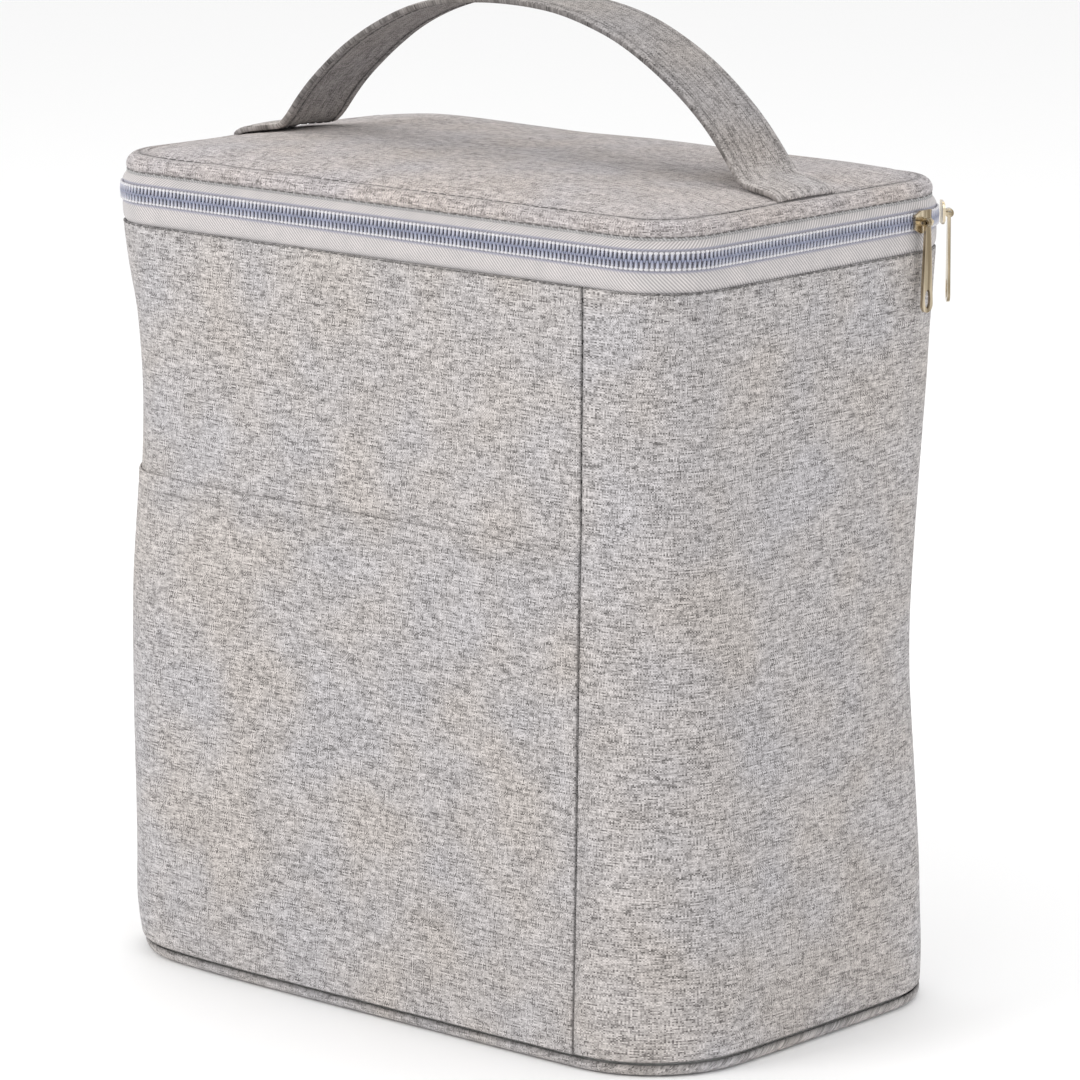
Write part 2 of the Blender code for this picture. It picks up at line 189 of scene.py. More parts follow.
def wall_at(column, z, inset=0.0):
    """Point and outward direction on the wall. A column is (kind, value, side_x, side_y)."""
    kind, value, side_x, side_y = column
    rise = min(z / chain_z, 1.0)
    half_x = base_half.x + (mouth_half.x - base_half.x) * rise - inset
    half_y = base_half.y + (mouth_half.y - base_half.y) * rise - inset
    radius = BASE_RADIUS + (MOUTH_RADIUS - BASE_RADIUS) * rise - inset
    if kind == "face":
        point = Vector((value, side_y * half_y, z))
        outward = Vector((0.0, side_y, 0.0))
    elif kind == "lead":
        point = Vector((side_x * (SEAM_X + value * (half_x - radius - SEAM_X)), side_y * half_y, z))
        outward = Vector((0.0, side_y, 0.0))
    elif kind == "span":
        point = Vector((value * (half_x - radius), side_y * half_y, z))
        outward = Vector((0.0, side_y, 0.0))
    elif kind == "broad":
        reach = SEAM_X - SEAM_RIMS[-1] + half_x - radius
        point = Vector((radius - half_x + value * reach, side_y * half_y, z))
        outward = Vector((0.0, side_y, 0.0))
    elif kind == "flank":
        point = Vector((side_x * half_x, value, z))
        outward = Vector((side_x, 0.0, 0.0))
    elif kind == "flank_span":
        reach = LEFT_SEAM_Y + SEAM_RIMS[-1] - half_y + radius
        point = Vector((side_x * half_x, half_y - radius + value * reach, z))
        outward = Vector((side_x, 0.0, 0.0))
    elif kind == "side":
        point = Vector((side_x * half_x, value * (half_y - radius), z))
        outward = Vector((side_x, 0.0, 0.0))
    else:
        turn = math.radians(value)
        outward = Vector((math.cos(turn), math.sin(turn), 0.0))
        centre = Vector((side_x * (half_x - radius), side_y * (half_y - radius), z))
        point = centre + outward * radius
    sag = 0.0
    for corner_x in (-1, 1):
        for corner_y in (-1, 1):
            tip_x = corner_x * (half_x - radius * 0.3)
            tip_y = corner_y * (half_y - radius * 0.3)
            gap = math.hypot(point.x - tip_x, point.y - tip_y)
            sag += corner_sag(corner_x, corner_y, z) * math.exp(-((gap / 0.034) ** 2))
    mouth_fade = min(max((chain_z - 0.006 - z) / 0.03, 0.0), 1.0)
    return point - outward * sag * mouth_fade, outward


def spaced(low, high, count, rims=()):
    """Even steps between two values, with extra ones close to each end."""
    inner = rims[-1] if rims else 0.0
    span = high - low - 2 * inner
    values = [low + rim for rim in rims[:-1]]
    values += [low + inner + span * step / count for step in range(count + 1)]
    return values + [high - rim for rim in reversed(rims[:-1])]


SEAM_LEAD = (0.01, 0.05, 0.11, 0.22, 0.40, 0.70)
right_run = [("lead", share, 1, -1) for share in SEAM_LEAD]
right_run += [("turn", -90 + 7.5 * step, 1, -1) for step in range(13)]
right_run += [("side", share, 1, 0) for share in spaced(-0.92, 0.92, 18)]
right_run += [("turn", 7.5 * step, 1, 1) for step in range(13)]
right_run += [("lead", share, 1, 1) for share in reversed(SEAM_LEAD)]
back_run = [("face", -x, 0, 1) for x in spaced(-SEAM_X, SEAM_X, 40, SEAM_RIMS)]
left_run = [("lead", share, -1, 1) for share in SEAM_LEAD]
left_run += [("turn", 90 + 7.5 * step, -1, 1) for step in range(13)]
left_run += [("flank_span", 0.06 + 0.94 * step / 14, -1, 0) for step in range(15)]
left_run += [("flank", LEFT_SEAM_Y + rim, -1, 0) for rim in reversed(SEAM_RIMS[:-1])]
front_run = [("flank", LEFT_SEAM_Y - rim, -1, 0) for rim in SEAM_RIMS]
front_run += [("turn", 180 + 7.5 * step, -1, -1) for step in range(13)]
front_run += [("broad", 0.03 + 0.97 * step / 40, 0, -1) for step in range(41)]
front_run += [("face", SEAM_X - rim, 0, -1) for rim in reversed(SEAM_RIMS[:-1])]


def run_lengths(run, z):
    """Distance along the wall from the first column of a run to each column."""
    points = [wall_at(column, z)[0] for column in run]
    lengths = [0.0]
    for near, far in zip(points, points[1:]):
        lengths.append(lengths[-1] + (far - near).length)
    return lengths


def cloth_grid(name, points, uvs, shades=None, wrap=0.0):
    """A sheet through a grid of points, with a UV map in metres and a seam shade per point.
    wrap is the full length of a run whose last column joins its first."""
    count = len(points)
    across = len(points[0])
    faces = []
    corners = []
    for here in range(count if wrap else count - 1):
        there = (here + 1) % count
        lift = wrap if there == 0 else 0.0
        for row in range(across - 1):
            faces.append((
                here * across + row,
                there * across + row,
                there * across + row + 1,
                here * across + row + 1,
            ))
            u0, v0 = uvs[here][row]
            u1, v1 = uvs[there][row]
            u2, v2 = uvs[there][row + 1]
            u3, v3 = uvs[here][row + 1]
            corners += [u0, v0, u1 + lift, v1, u2 + lift, v2, u3, v3]
    mesh = bpy.data.meshes.new(name)
    mesh.from_pydata([point for line in points for point in line], [], faces)
    mesh.uv_layers.new(name="cloth").data.foreach_set("uv", corners)
    shade = mesh.attributes.new("seam_shade", "FLOAT", "POINT")
    if shades:
        shade.data.foreach_set("value", [value for line in shades for value in line])
    mesh.shade_smooth()
    piece = bpy.data.objects.new(name, mesh)
    bpy.context.scene.collection.objects.link(piece)
    return piece


def give_body(piece, thickness, levels=1):
    """Thickness on the inner side of a sheet, then rounded edges."""
    wall = piece.modifiers.new("thickness", "SOLIDIFY")
    wall.thickness = thickness
    wall.offset = -1.0
    soften = piece.modifiers.new("rounding", "SUBSURF")
    soften.levels = levels
    soften.render_levels = levels


def melange_cloth(name, light, dark, contrast, painted_light):
    """Plain weave of two threads: streaky melange wefts over calmer warps, darkened by painted shade where the
    seam_shade attribute says.
    """
    material = bpy.data.materials.new(name)
    material.use_nodes = True
    tree = material.node_tree
    nodes = tree.nodes
    links = tree.links
    shader = nodes["Principled BSDF"]
    shader.label = "melange cloth"

    weave_frame = nodes.new("NodeFrame")
    weave_frame.label = "threads of the weave"
    cloth_place = nodes.new("ShaderNodeTexCoord")
    cloth_place.label = "metres along the cloth"
    thread_count = nodes.new("ShaderNodeVectorMath")
    thread_count.label = "threads per metre"
    split = nodes.new("ShaderNodeSeparateXYZ")
    split.label = "along weft and warp"
    warp_number = nodes.new("ShaderNodeMath")
    warp_number.label = "which warp thread"
    weft_number = nodes.new("ShaderNodeMath")
    weft_number.label = "which weft thread"
    parity_sum = nodes.new("ShaderNodeMath")
    parity_sum.label = "cell of the weave"
    over_under = nodes.new("ShaderNodeMath")
    over_under.label = "warp over or under"
    warp_share = nodes.new("ShaderNodeMath")
    warp_share.label = "wefts swell over the warps"

    streak_frame = nodes.new("NodeFrame")
    streak_frame.label = "slubs and streaks"
    weft_reach = nodes.new("ShaderNodeMath")
    weft_reach.label = "length of a weft streak"
    weft_spread = nodes.new("ShaderNodeMath")
    weft_spread.label = "each weft its own streaks"
    weft_place = nodes.new("ShaderNodeCombineXYZ")
    weft_place.label = "place on the weft"
    weft_noise = nodes.new("ShaderNodeTexNoise")
    weft_noise.label = "dyed fibres in the weft"
    warp_reach = nodes.new("ShaderNodeMath")
    warp_reach.label = "length of a warp streak"
    warp_spread = nodes.new("ShaderNodeMath")
    warp_spread.label = "each warp its own streaks"
    warp_place = nodes.new("ShaderNodeCombineXYZ")
    warp_place.label = "place on the warp"
    warp_noise = nodes.new("ShaderNodeTexNoise")
    warp_noise.label = "dyed fibres in the warp"
    weft_tone = nodes.new("ShaderNodeMapRange")
    weft_tone.label = "weft contrast"
    warp_tone = nodes.new("ShaderNodeMapRange")
    warp_tone.label = "warp contrast"
    thread_tone = nodes.new("ShaderNodeMix")
    thread_tone.label = "thread on top"

    colour_frame = nodes.new("NodeFrame")
    colour_frame.label = "colour and wear"
    body_place = nodes.new("ShaderNodeTexCoord")
    body_place.label = "place on the bag"
    patch_noise = nodes.new("ShaderNodeTexNoise")
    patch_noise.label = "uneven dye lots"
    yarn_colour = nodes.new("ShaderNodeValToRGB")
    yarn_colour.label = "yarn colours"
    patch_tint = nodes.new("ShaderNodeValToRGB")
    patch_tint.label = "beige to lilac cast"
    tinted = nodes.new("ShaderNodeMix")
    tinted.label = "cast over the yarn"
    # painted shade: the seam_shade attribute darkens the cloth colour in seams, grooves, under the lid's band and
    # along the handle's arch
    painted_shade_mask = nodes.new("ShaderNodeAttribute")
    painted_shade_mask.label = "nearness to a seam"
    painted_shade_strength = nodes.new("ShaderNodeMapRange")
    painted_shade_strength.label = "darker in the seams"
    painted_shade_mix = nodes.new("ShaderNodeMix")
    painted_shade_mix.label = "shade in the seams"
    fuzz_noise = nodes.new("ShaderNodeTexNoise")
    fuzz_noise.label = "worn fuzz"
    fuzz_rough = nodes.new("ShaderNodeMapRange")
    fuzz_rough.label = "roughness of the fuzz"

    bump_frame = nodes.new("NodeFrame")
    bump_frame.label = "relief of the threads"
    warp_round = nodes.new("ShaderNodeMath")
    warp_round.label = "across a warp thread"
    weft_round = nodes.new("ShaderNodeMath")
    weft_round.label = "across a weft thread"
    warp_crown = nodes.new("ShaderNodeMath")
    warp_crown.label = "roundness of a warp thread"
    weft_crown = nodes.new("ShaderNodeMath")
    weft_crown.label = "roundness of a weft thread"
    thread_relief = nodes.new("ShaderNodeMix")
    thread_relief.label = "relief of the thread on top"
    weave_bump = nodes.new("ShaderNodeBump")
    weave_bump.label = "weave relief"
    slub_bump = nodes.new("ShaderNodeBump")
    slub_bump.label = "thicker slubs"

    groups = {
        weave_frame: (cloth_place, thread_count, split, warp_number, weft_number, parity_sum, over_under, warp_share),
        streak_frame: (
            weft_reach, weft_spread, weft_place, weft_noise, warp_reach, warp_spread,
            warp_place, warp_noise, weft_tone, warp_tone, thread_tone,
        ),
        colour_frame: (
            body_place, patch_noise, yarn_colour, patch_tint, tinted, painted_shade_mask,
            painted_shade_strength, painted_shade_mix, fuzz_noise, fuzz_rough,
        ),
        bump_frame: (warp_round, weft_round, warp_crown, weft_crown, thread_relief, weave_bump, slub_bump),
    }
    for row, (group, members) in enumerate(groups.items()):
        for step, node in enumerate(members):
            node.parent = group
            node.location = (-2600 + 220 * step, 900 - 420 * row)

    thread_count.operation = "MULTIPLY"
    thread_count.inputs[1].default_value = (2050.0, 2250.0, 0.0)
    warp_number.operation = "FLOOR"
    weft_number.operation = "FLOOR"
    parity_sum.operation = "ADD"
    over_under.operation = "FLOORED_MODULO"
    over_under.inputs[1].default_value = 2.0
    warp_share.operation = "MULTIPLY"
    warp_share.inputs[1].default_value = 0.85
    weft_reach.operation = "MULTIPLY"
    weft_reach.inputs[1].default_value = 0.085
    weft_spread.operation = "MULTIPLY"
    weft_spread.inputs[1].default_value = 3.71
    weft_noise.inputs["Scale"].default_value = 1.0
    weft_noise.inputs["Detail"].default_value = 3.0
    weft_noise.inputs["Roughness"].default_value = 0.75
    warp_reach.operation = "MULTIPLY"
    warp_reach.inputs[1].default_value = 0.16
    warp_spread.operation = "MULTIPLY"
    warp_spread.inputs[1].default_value = 5.23
    warp_noise.inputs["Scale"].default_value = 1.0
    warp_noise.inputs["Detail"].default_value = 2.0
    warp_noise.inputs["Roughness"].default_value = 0.7
    weft_tone.inputs["From Min"].default_value = 0.5 - contrast
    weft_tone.inputs["From Max"].default_value = 0.5 + contrast
    warp_tone.inputs["From Min"].default_value = 0.5 - contrast * 1.15
    warp_tone.inputs["From Max"].default_value = 0.5 + contrast * 1.15
    yarn_colour.color_ramp.elements[0].color = (*dark, 1.0)
    yarn_colour.color_ramp.elements[1].color = (*light, 1.0)
    middle = yarn_colour.color_ramp.elements.new(0.5)
    middle.color = tuple(0.46 * a + 0.54 * b for a, b in zip((*dark, 1.0), (*light, 1.0)))
    patch_noise.inputs["Scale"].default_value = 26.0
    patch_noise.inputs["Detail"].default_value = 2.0
    patch_tint.color_ramp.elements[0].position = 0.35
    patch_tint.color_ramp.elements[0].color = (0.95, 0.955, 1.0, 1.0)
    patch_tint.color_ramp.elements[1].position = 0.65
    patch_tint.color_ramp.elements[1].color = (1.0, 0.965, 0.945, 1.0)
    tinted.data_type = "RGBA"
    tinted.blend_type = "MULTIPLY"
    tinted.inputs["Factor"].default_value = 1.0
    painted_shade_mask.attribute_name = "seam_shade"
    painted_shade_strength.inputs["To Min"].default_value = 1.0
    painted_shade_strength.inputs["To Max"].default_value = painted_light
    painted_shade_mix.data_type = "RGBA"
    painted_shade_mix.blend_type = "MULTIPLY"
    painted_shade_mix.inputs["Factor"].default_value = 1.0
    fuzz_noise.inputs["Scale"].default_value = 900.0
    fuzz_rough.inputs["To Min"].default_value = 0.78
    fuzz_rough.inputs["To Max"].default_value = 0.98
    warp_round.operation = "FRACT"
    weft_round.operation = "FRACT"
    warp_crown.operation = "PINGPONG"
    warp_crown.inputs[1].default_value = 0.5
    weft_crown.operation = "PINGPONG"
    weft_crown.inputs[1].default_value = 0.5
    weave_bump.inputs["Strength"].default_value = 0.55
    weave_bump.inputs["Distance"].default_value = 0.0004
    slub_bump.inputs["Strength"].default_value = 0.30
    slub_bump.inputs["Distance"].default_value = 0.0003
    shader.inputs["Sheen Weight"].default_value = 0.12
    shader.inputs["Sheen Roughness"].default_value = 0.5
    shader.inputs["Specular IOR Level"].default_value = 0.25

    links.new(cloth_place.outputs["UV"], thread_count.inputs[0])
    links.new(thread_count.outputs["Vector"], split.inputs["Vector"])
    links.new(split.outputs["X"], warp_number.inputs[0])
    links.new(split.outputs["Y"], weft_number.inputs[0])
    links.new(warp_number.outputs["Value"], parity_sum.inputs[0])
    links.new(weft_number.outputs["Value"], parity_sum.inputs[1])
    links.new(parity_sum.outputs["Value"], over_under.inputs[0])
    links.new(split.outputs["X"], weft_reach.inputs[0])
    links.new(weft_number.outputs["Value"], weft_spread.inputs[0])
    links.new(weft_reach.outputs["Value"], weft_place.inputs["X"])
    links.new(weft_spread.outputs["Value"], weft_place.inputs["Y"])
    links.new(weft_place.outputs["Vector"], weft_noise.inputs["Vector"])
    links.new(split.outputs["Y"], warp_reach.inputs[0])
    links.new(warp_number.outputs["Value"], warp_spread.inputs[0])
    links.new(warp_spread.outputs["Value"], warp_place.inputs["X"])
    links.new(warp_reach.outputs["Value"], warp_place.inputs["Y"])
    links.new(warp_place.outputs["Vector"], warp_noise.inputs["Vector"])
    links.new(weft_noise.outputs["Fac"], weft_tone.inputs["Value"])
    links.new(warp_noise.outputs["Fac"], warp_tone.inputs["Value"])
    links.new(over_under.outputs["Value"], warp_share.inputs[0])
    links.new(warp_share.outputs["Value"], thread_tone.inputs["Factor"])
    links.new(weft_tone.outputs["Result"], thread_tone.inputs["A"])
    links.new(warp_tone.outputs["Result"], thread_tone.inputs["B"])
    links.new(thread_tone.outputs["Result"], yarn_colour.inputs["Fac"])
    links.new(body_place.outputs["Object"], patch_noise.inputs["Vector"])
    links.new(patch_noise.outputs["Fac"], patch_tint.inputs["Fac"])
    links.new(yarn_colour.outputs["Color"], tinted.inputs["A"])
    links.new(patch_tint.outputs["Color"], tinted.inputs["B"])
    links.new(painted_shade_mask.outputs["Fac"], painted_shade_strength.inputs["Value"])
    links.new(tinted.outputs["Result"], painted_shade_mix.inputs["A"])
    links.new(painted_shade_strength.outputs["Result"], painted_shade_mix.inputs["B"])
    links.new(painted_shade_mix.outputs["Result"], shader.inputs["Base Color"])
    links.new(body_place.outputs["Object"], fuzz_noise.inputs["Vector"])
    links.new(fuzz_noise.outputs["Fac"], fuzz_rough.inputs["Value"])
    links.new(fuzz_rough.outputs["Result"], shader.inputs["Roughness"])
    links.new(split.outputs["X"], warp_round.inputs[0])
    links.new(split.outputs["Y"], weft_round.inputs[0])
    links.new(warp_round.outputs["Value"], warp_crown.inputs[0])
    links.new(weft_round.outputs["Value"], weft_crown.inputs[0])
    links.new(over_under.outputs["Value"], thread_relief.inputs["Factor"])
    links.new(weft_crown.outputs["Value"], thread_relief.inputs["A"])
    links.new(warp_crown.outputs["Value"], thread_relief.inputs["B"])
    links.new(weft_noise.outputs["Fac"], slub_bump.inputs["Height"])
    links.new(thread_relief.outputs["Result"], weave_bump.inputs["Height"])
    links.new(slub_bump.outputs["Normal"], weave_bump.inputs["Normal"])
    links.new(weave_bump.outputs["Normal"], shader.inputs["Normal"])
    return material


# the last number of each cloth sets how dark its painted shade gets
panel_cloth = melange_cloth("panel_cloth", (0.64, 0.615, 0.598), (0.115, 0.108, 0.104), 0.12, 0.30)

panel_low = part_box("front_panel")[0].z
panel_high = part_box("front_panel")[1].z
panel_heights = spaced(panel_low, panel_high, 44, SEAM_RIMS)


def edge_roll(distance, z=None):
    """How far cloth turns in at a seam: most at the edge, nothing 1 mm away. An upright seam is
    uneven along its height, and fainter below the pocket's top."""
    roll = math.exp(-((distance / 0.00042) ** 2))
    if z is None:
        return roll
    uneven = 0.75 + 0.45 * noise.noise(Vector((3.0, 8.0, z * 160.0)))
    return roll * uneven * (1.0 if z > 0.160 else 0.55)


def soft_dents(point):
    """Shallow hollows and swellings of cloth over foam."""
    broad = noise.noise(Vector((point.x * 17.0, point.y * 17.0, point.z * 13.0)))
    fine = noise.noise(Vector((point.x * 60.0 + 7.0, point.y * 60.0, point.z * 34.0)))
    return 0.0007 * broad + 0.00022 * fine


def panel(name, run, body_nodes):
    """One sewn panel of the body, with its seams rolled in and puckered."""
    lengths = run_lengths(run, 0.12)
    points = []
    uvs = []
    shades = []
    for column, along in zip(run, lengths):
        from_side = min(along, lengths[-1] - along)
        line = []
        uv_line = []
        shade_line = []
        for z in panel_heights:
            spot, outward = wall_at(column, z)
            from_end = min(z - panel_low, panel_high - z)
            roll = max(edge_roll(from_side, z), edge_roll(from_end))
            pucker = 0.00016 * math.sin(z * 640.0 + 3.0 * noise.noise(spot * 40.0)) * swell(from_side, 0.002, 0.006)
            spot = spot + outward * (soft_dents(spot) * min(1.0, from_end / 0.01) + pucker - 0.0007 * roll)
            line.append(spot)
            uv_line.append((along, z))
            # painted shade: the roll also darkens the colour along the seams and the top and bottom edges
            shade_line.append(roll)
        points.append(line)
        uvs.append(uv_line)
        shades.append(shade_line)
    piece = cloth_grid(name, points, uvs, shades)
    give_body(piece, CLOTH)
    piece.data.materials.append(panel_cloth)
    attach(piece, "bag")
    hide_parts(*body_nodes)
    return piece


front_cover = panel("front_cover", front_run, ["front_panel"])
back_cover = panel("back_cover", back_run, ["back_panel"])
right_cover = panel("right_cover", right_run, ["right_side_panel"])
left_cover = panel("left_cover", left_run, ["left_side_panel"])


# ---- Base ----------------------------------------------------------------------------------
# A flat cloth base whose edge turns up a few millimetres to the seam with the panels.

round_run = right_run + back_run + left_run + front_run
base_seam_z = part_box("base_panel")[1].z
base_profile = [
    (0.0006, base_seam_z), (0.0001, base_seam_z - 0.0006), (0.0, 0.0022), (0.0006, 0.0008),
    (0.0020, 0.0), (0.0060, 0.0), (0.0180, 0.0), (0.0300, 0.0),
]
CORE_SHARES = (0.7, 0.4, 0.12)


def close_middle(piece):
    """Fill the small hole left at the middle of a sheet made of rings."""
    work = bmesh.new()
    work.from_mesh(piece.data)
    work.faces.ensure_lookup_table()
    way = work.faces[0].normal.copy()
    layer = work.loops.layers.uv["cloth"]
    ring = [edge for edge in work.edges if edge.is_boundary
            and max(abs(end.co.x) for end in edge.verts) < 0.02]
    for face in bmesh.ops.holes_fill(work, edges=ring)["faces"]:
        face.smooth = True
        for loop in face.loops:
            loop[layer].uv = loop.vert.co.xy
    bmesh.ops.recalc_face_normals(work, faces=work.faces)
    work.faces.ensure_lookup_table()
    if work.faces[0].normal.dot(way) < 0:
        bmesh.ops.reverse_faces(work, faces=work.faces)
    work.to_mesh(piece.data)
    work.free()


base_rings = []
base_uvs = []
base_shades = []
for column in round_run:
    line = []
    for inset, z in base_profile:
        spot = wall_at(column, z, inset)[0]
        line.append(Vector((spot.x, spot.y, z)))
    for share in CORE_SHARES:
        line.append(Vector((line[7].x * share, line[7].y * share, 0.0)))
    line.reverse()
    base_rings.append(line)
    base_uvs.append([(spot.x, spot.y - spot.z) for spot in line])
    # painted shade in the base seam
    base_shades.append([swell(spot.z, base_seam_z, 0.0008) for spot in line])
base_cover = cloth_grid("base_cover", base_rings, base_uvs, base_shades, wrap=1e-9)
close_middle(base_cover)
give_body(base_cover, CLOTH)
base_cover.data.materials.append(panel_cloth)
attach(base_cover, "bag")
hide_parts("base_panel")

# ---- Slip pocket ---------------------------------------------------------------------------
# A flat pocket of the same cloth, caught in both front seams and the base seam. Its top edge
# is turned over in a narrow stitched hem and stands a little off the panel.

HEM = 0.0055
pocket_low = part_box("front_pocket")[0].z
pocket_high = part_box("front_pocket")[1].z
pocket_heights = spaced(pocket_low, pocket_high, 30, SEAM_RIMS)
pocket_heights += [pocket_high - HEM - 0.0006, pocket_high - HEM, pocket_high - HEM + 0.0006]
pocket_heights.sort()
pocket_points = []
pocket_uvs = []
pocket_shades = []
pocket_lengths = run_lengths(front_run, 0.12)
for column, along in zip(front_run, pocket_lengths):
    from_side = min(along, pocket_lengths[-1] - along)
    line = []
    shade_line = []
    for z in pocket_heights:
        spot, outward = wall_at(column, z)
        roll = max(edge_roll(from_side, z), edge_roll(z - pocket_low))
        proud = 0.0008 + soft_dents(spot) * min(1.0, (z - pocket_low) / 0.01)
        middle = 1.0 - (2.0 * from_side / pocket_lengths[-1] - 1.0) ** 2
        proud += 0.0003 * middle * swell(z, pocket_high, 0.012)
        proud -= 0.00012 * swell(z, pocket_high - HEM, 0.0006)
        proud -= 0.0003 * edge_roll(pocket_high - z)
        line.append(spot + outward * (proud - 0.0010 * roll))
        # painted shade along the pocket's seams and in the groove of its hem
        shade_line.append(max(roll, 0.25 * swell(z, pocket_high - HEM, 0.0005)))
    pocket_points.append(line)
    pocket_uvs.append([(along + 0.013, z + 0.0007) for z in pocket_heights])
    pocket_shades.append(shade_line)
pocket = cloth_grid("pocket_sheet", pocket_points, pocket_uvs, pocket_shades)
give_body(pocket, 0.0006)
pocket.data.materials.append(panel_cloth)
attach(pocket, "bag")
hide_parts("front_pocket")


# ---- Sewing thread -------------------------------------------------------------------------
# Spun polyester thread in short stitches: a dark one for the seams, the lid's edge and the handle's
# edges, a grey one for the hem and the handle's feet.


def spun_thread(name, colour, shade):
    """Twisted thread with a slanted ply, uneven dye, painted shade between the plies and a dull sheen."""
    material = bpy.data.materials.new(name)
    material.use_nodes = True
    nodes = material.node_tree.nodes
    links = material.node_tree.links
    shader = nodes["Principled BSDF"]
    shader.label = "spun thread"

    ply_frame = nodes.new("NodeFrame")
    ply_frame.label = "twisted plies"
    place = nodes.new("ShaderNodeTexCoord")
    place.label = "place on the bag"
    ply = nodes.new("ShaderNodeTexWave")
    ply.label = "slanted plies"
    ply_bump = nodes.new("ShaderNodeBump")
    ply_bump.label = "relief of the plies"
    dye_frame = nodes.new("NodeFrame")
    dye_frame.label = "dye and wear"
    dye = nodes.new("ShaderNodeTexNoise")
    dye.label = "uneven dye"
    dye_colour = nodes.new("ShaderNodeValToRGB")
    dye_colour.label = "thread colours"
    ply_shade = nodes.new("ShaderNodeMix")
    ply_shade.label = "darker between plies"
    rough = nodes.new("ShaderNodeMapRange")
    rough.label = "fuzzy and worn stretches"
    for row, (group, members) in enumerate((
        (ply_frame, (place, ply, ply_bump)),
        (dye_frame, (dye, dye_colour, ply_shade, rough)),
    )):
        for step, node in enumerate(members):
            node.parent = group
            node.location = (-1100 + 220 * step, 300 - 360 * row)

    ply.wave_type = "BANDS"
    ply.bands_direction = "DIAGONAL"
    ply.inputs["Scale"].default_value = 900.0
    ply.inputs["Distortion"].default_value = 1.2
    ply_bump.inputs["Strength"].default_value = 0.5
    ply_bump.inputs["Distance"].default_value = 0.0001
    dye.inputs["Scale"].default_value = 420.0
    dye.inputs["Detail"].default_value = 3.0
    dye_colour.color_ramp.elements[0].position = 0.3
    dye_colour.color_ramp.elements[0].color = (*shade, 1.0)
    dye_colour.color_ramp.elements[1].position = 0.7
    dye_colour.color_ramp.elements[1].color = (*colour, 1.0)
    # painted shade: the colour is darkened between the plies
    ply_shade.data_type = "RGBA"
    ply_shade.blend_type = "MULTIPLY"
    ply_shade.inputs["Factor"].default_value = 0.35
    rough.inputs["To Min"].default_value = 0.55
    rough.inputs["To Max"].default_value = 0.85
    shader.inputs["Sheen Weight"].default_value = 0.2

    links.new(place.outputs["Object"], ply.inputs["Vector"])
    links.new(place.outputs["Object"], dye.inputs["Vector"])
    links.new(ply.outputs["Fac"], ply_bump.inputs["Height"])
    links.new(ply_bump.outputs["Normal"], shader.inputs["Normal"])
    links.new(dye.outputs["Fac"], dye_colour.inputs["Fac"])
    links.new(dye_colour.outputs["Color"], ply_shade.inputs["A"])
    links.new(ply.outputs["Color"], ply_shade.inputs["B"])
    links.new(ply_shade.outputs["Result"], shader.inputs["Base Color"])
    links.new(dye.outputs["Fac"], rough.inputs["Value"])
    links.new(rough.outputs["Result"], shader.inputs["Roughness"])
    return material


dark_thread = spun_thread("dark_thread", (0.16, 0.15, 0.145), (0.07, 0.066, 0.064))
grey_thread = spun_thread("grey_thread", (0.42, 0.41, 0.40), (0.26, 0.25, 0.24))


def rods(name, bars, material):
    """Many short six-sided rods with rounded ends in one mesh, each (start, end, radius, up)."""
    verts = []
    faces = []
    for start, end, radius, up in bars:
        axis = end - start
        reach = axis.length
        axis.normalize()
        side = axis.cross(up).normalized()
        top = side.cross(axis)
        first = len(verts)
        for along, size in ((0.0, 0.5), (0.6 * radius, 1.0), (reach - 0.6 * radius, 1.0), (reach, 0.5)):
            for step in range(6):
                turn = math.radians(60 * step)
                spoke = side * math.cos(turn) + top * math.sin(turn)
                verts.append(start + axis * along + spoke * radius * size)
        for ring in range(3):
            for step in range(6):
                near = first + 6 * ring + step
                next_step = first + 6 * ring + (step + 1) % 6
                faces.append((near, near + 6, next_step + 6, next_step))
        faces.append(tuple(first + step for step in range(6)))
        faces.append(tuple(first + 18 + step for step in reversed(range(6))))
    mesh = bpy.data.meshes.new(name)
    mesh.from_pydata(verts, [], faces)
    work = bmesh.new()
    work.from_mesh(mesh)
    bmesh.ops.recalc_face_normals(work, faces=work.faces)
    work.to_mesh(mesh)
    work.free()
    mesh.shade_smooth()
    mesh.materials.append(material)
    piece = bpy.data.objects.new(name, mesh)
    bpy.context.scene.collection.objects.link(piece)
    return piece


def path_marks(path):
    """Distance from the start of a path of (point, outward) pairs to each of its points."""
    marks = [0.0]
    for (near, _), (far, _) in zip(path, path[1:]):
        marks.append(marks[-1] + (far - near).length)
    return marks


def on_path(path, marks, distance):
    """Point and outward direction at a distance along a path."""
    spot = Vector([np.interp(distance, marks, [point[axis] for point, _ in path]) for axis in range(3)])
    outward = Vector([np.interp(distance, marks, [away[axis] for _, away in path]) for axis in range(3)])
    return spot, outward.normalized()


def stitches(name, path, stitch, gap, radius, material):
    """A row of stitches along a path, each end sunk a little into the cloth."""
    marks = path_marks(path)
    count = int(marks[-1] // (stitch + gap))
    pitch = marks[-1] / count
    bars = []
    for number in range(count):
        start, up = on_path(path, marks, number * pitch + gap / 2)
        end, _ = on_path(path, marks, (number + 1) * pitch - gap / 2)
        bars.append((start - up * radius * 0.4, end - up * radius * 0.4, radius, up))
    return rods(name, bars, material)


def wall_path(columns, z, proud):
    """A level path on the wall, raised above it by a set amount."""
    path = []
    for column in columns:
        spot, outward = wall_at(column, z)
        path.append((spot + outward * (proud + soft_dents(spot)), outward))
    return path


def upright_path(column, low, high, proud):
    """An upright path on the wall."""
    path = []
    for step in range(41):
        spot, outward = wall_at(column, low + (high - low) * step / 40)
        path.append((spot + outward * (proud + soft_dents(spot)), outward))
    return path


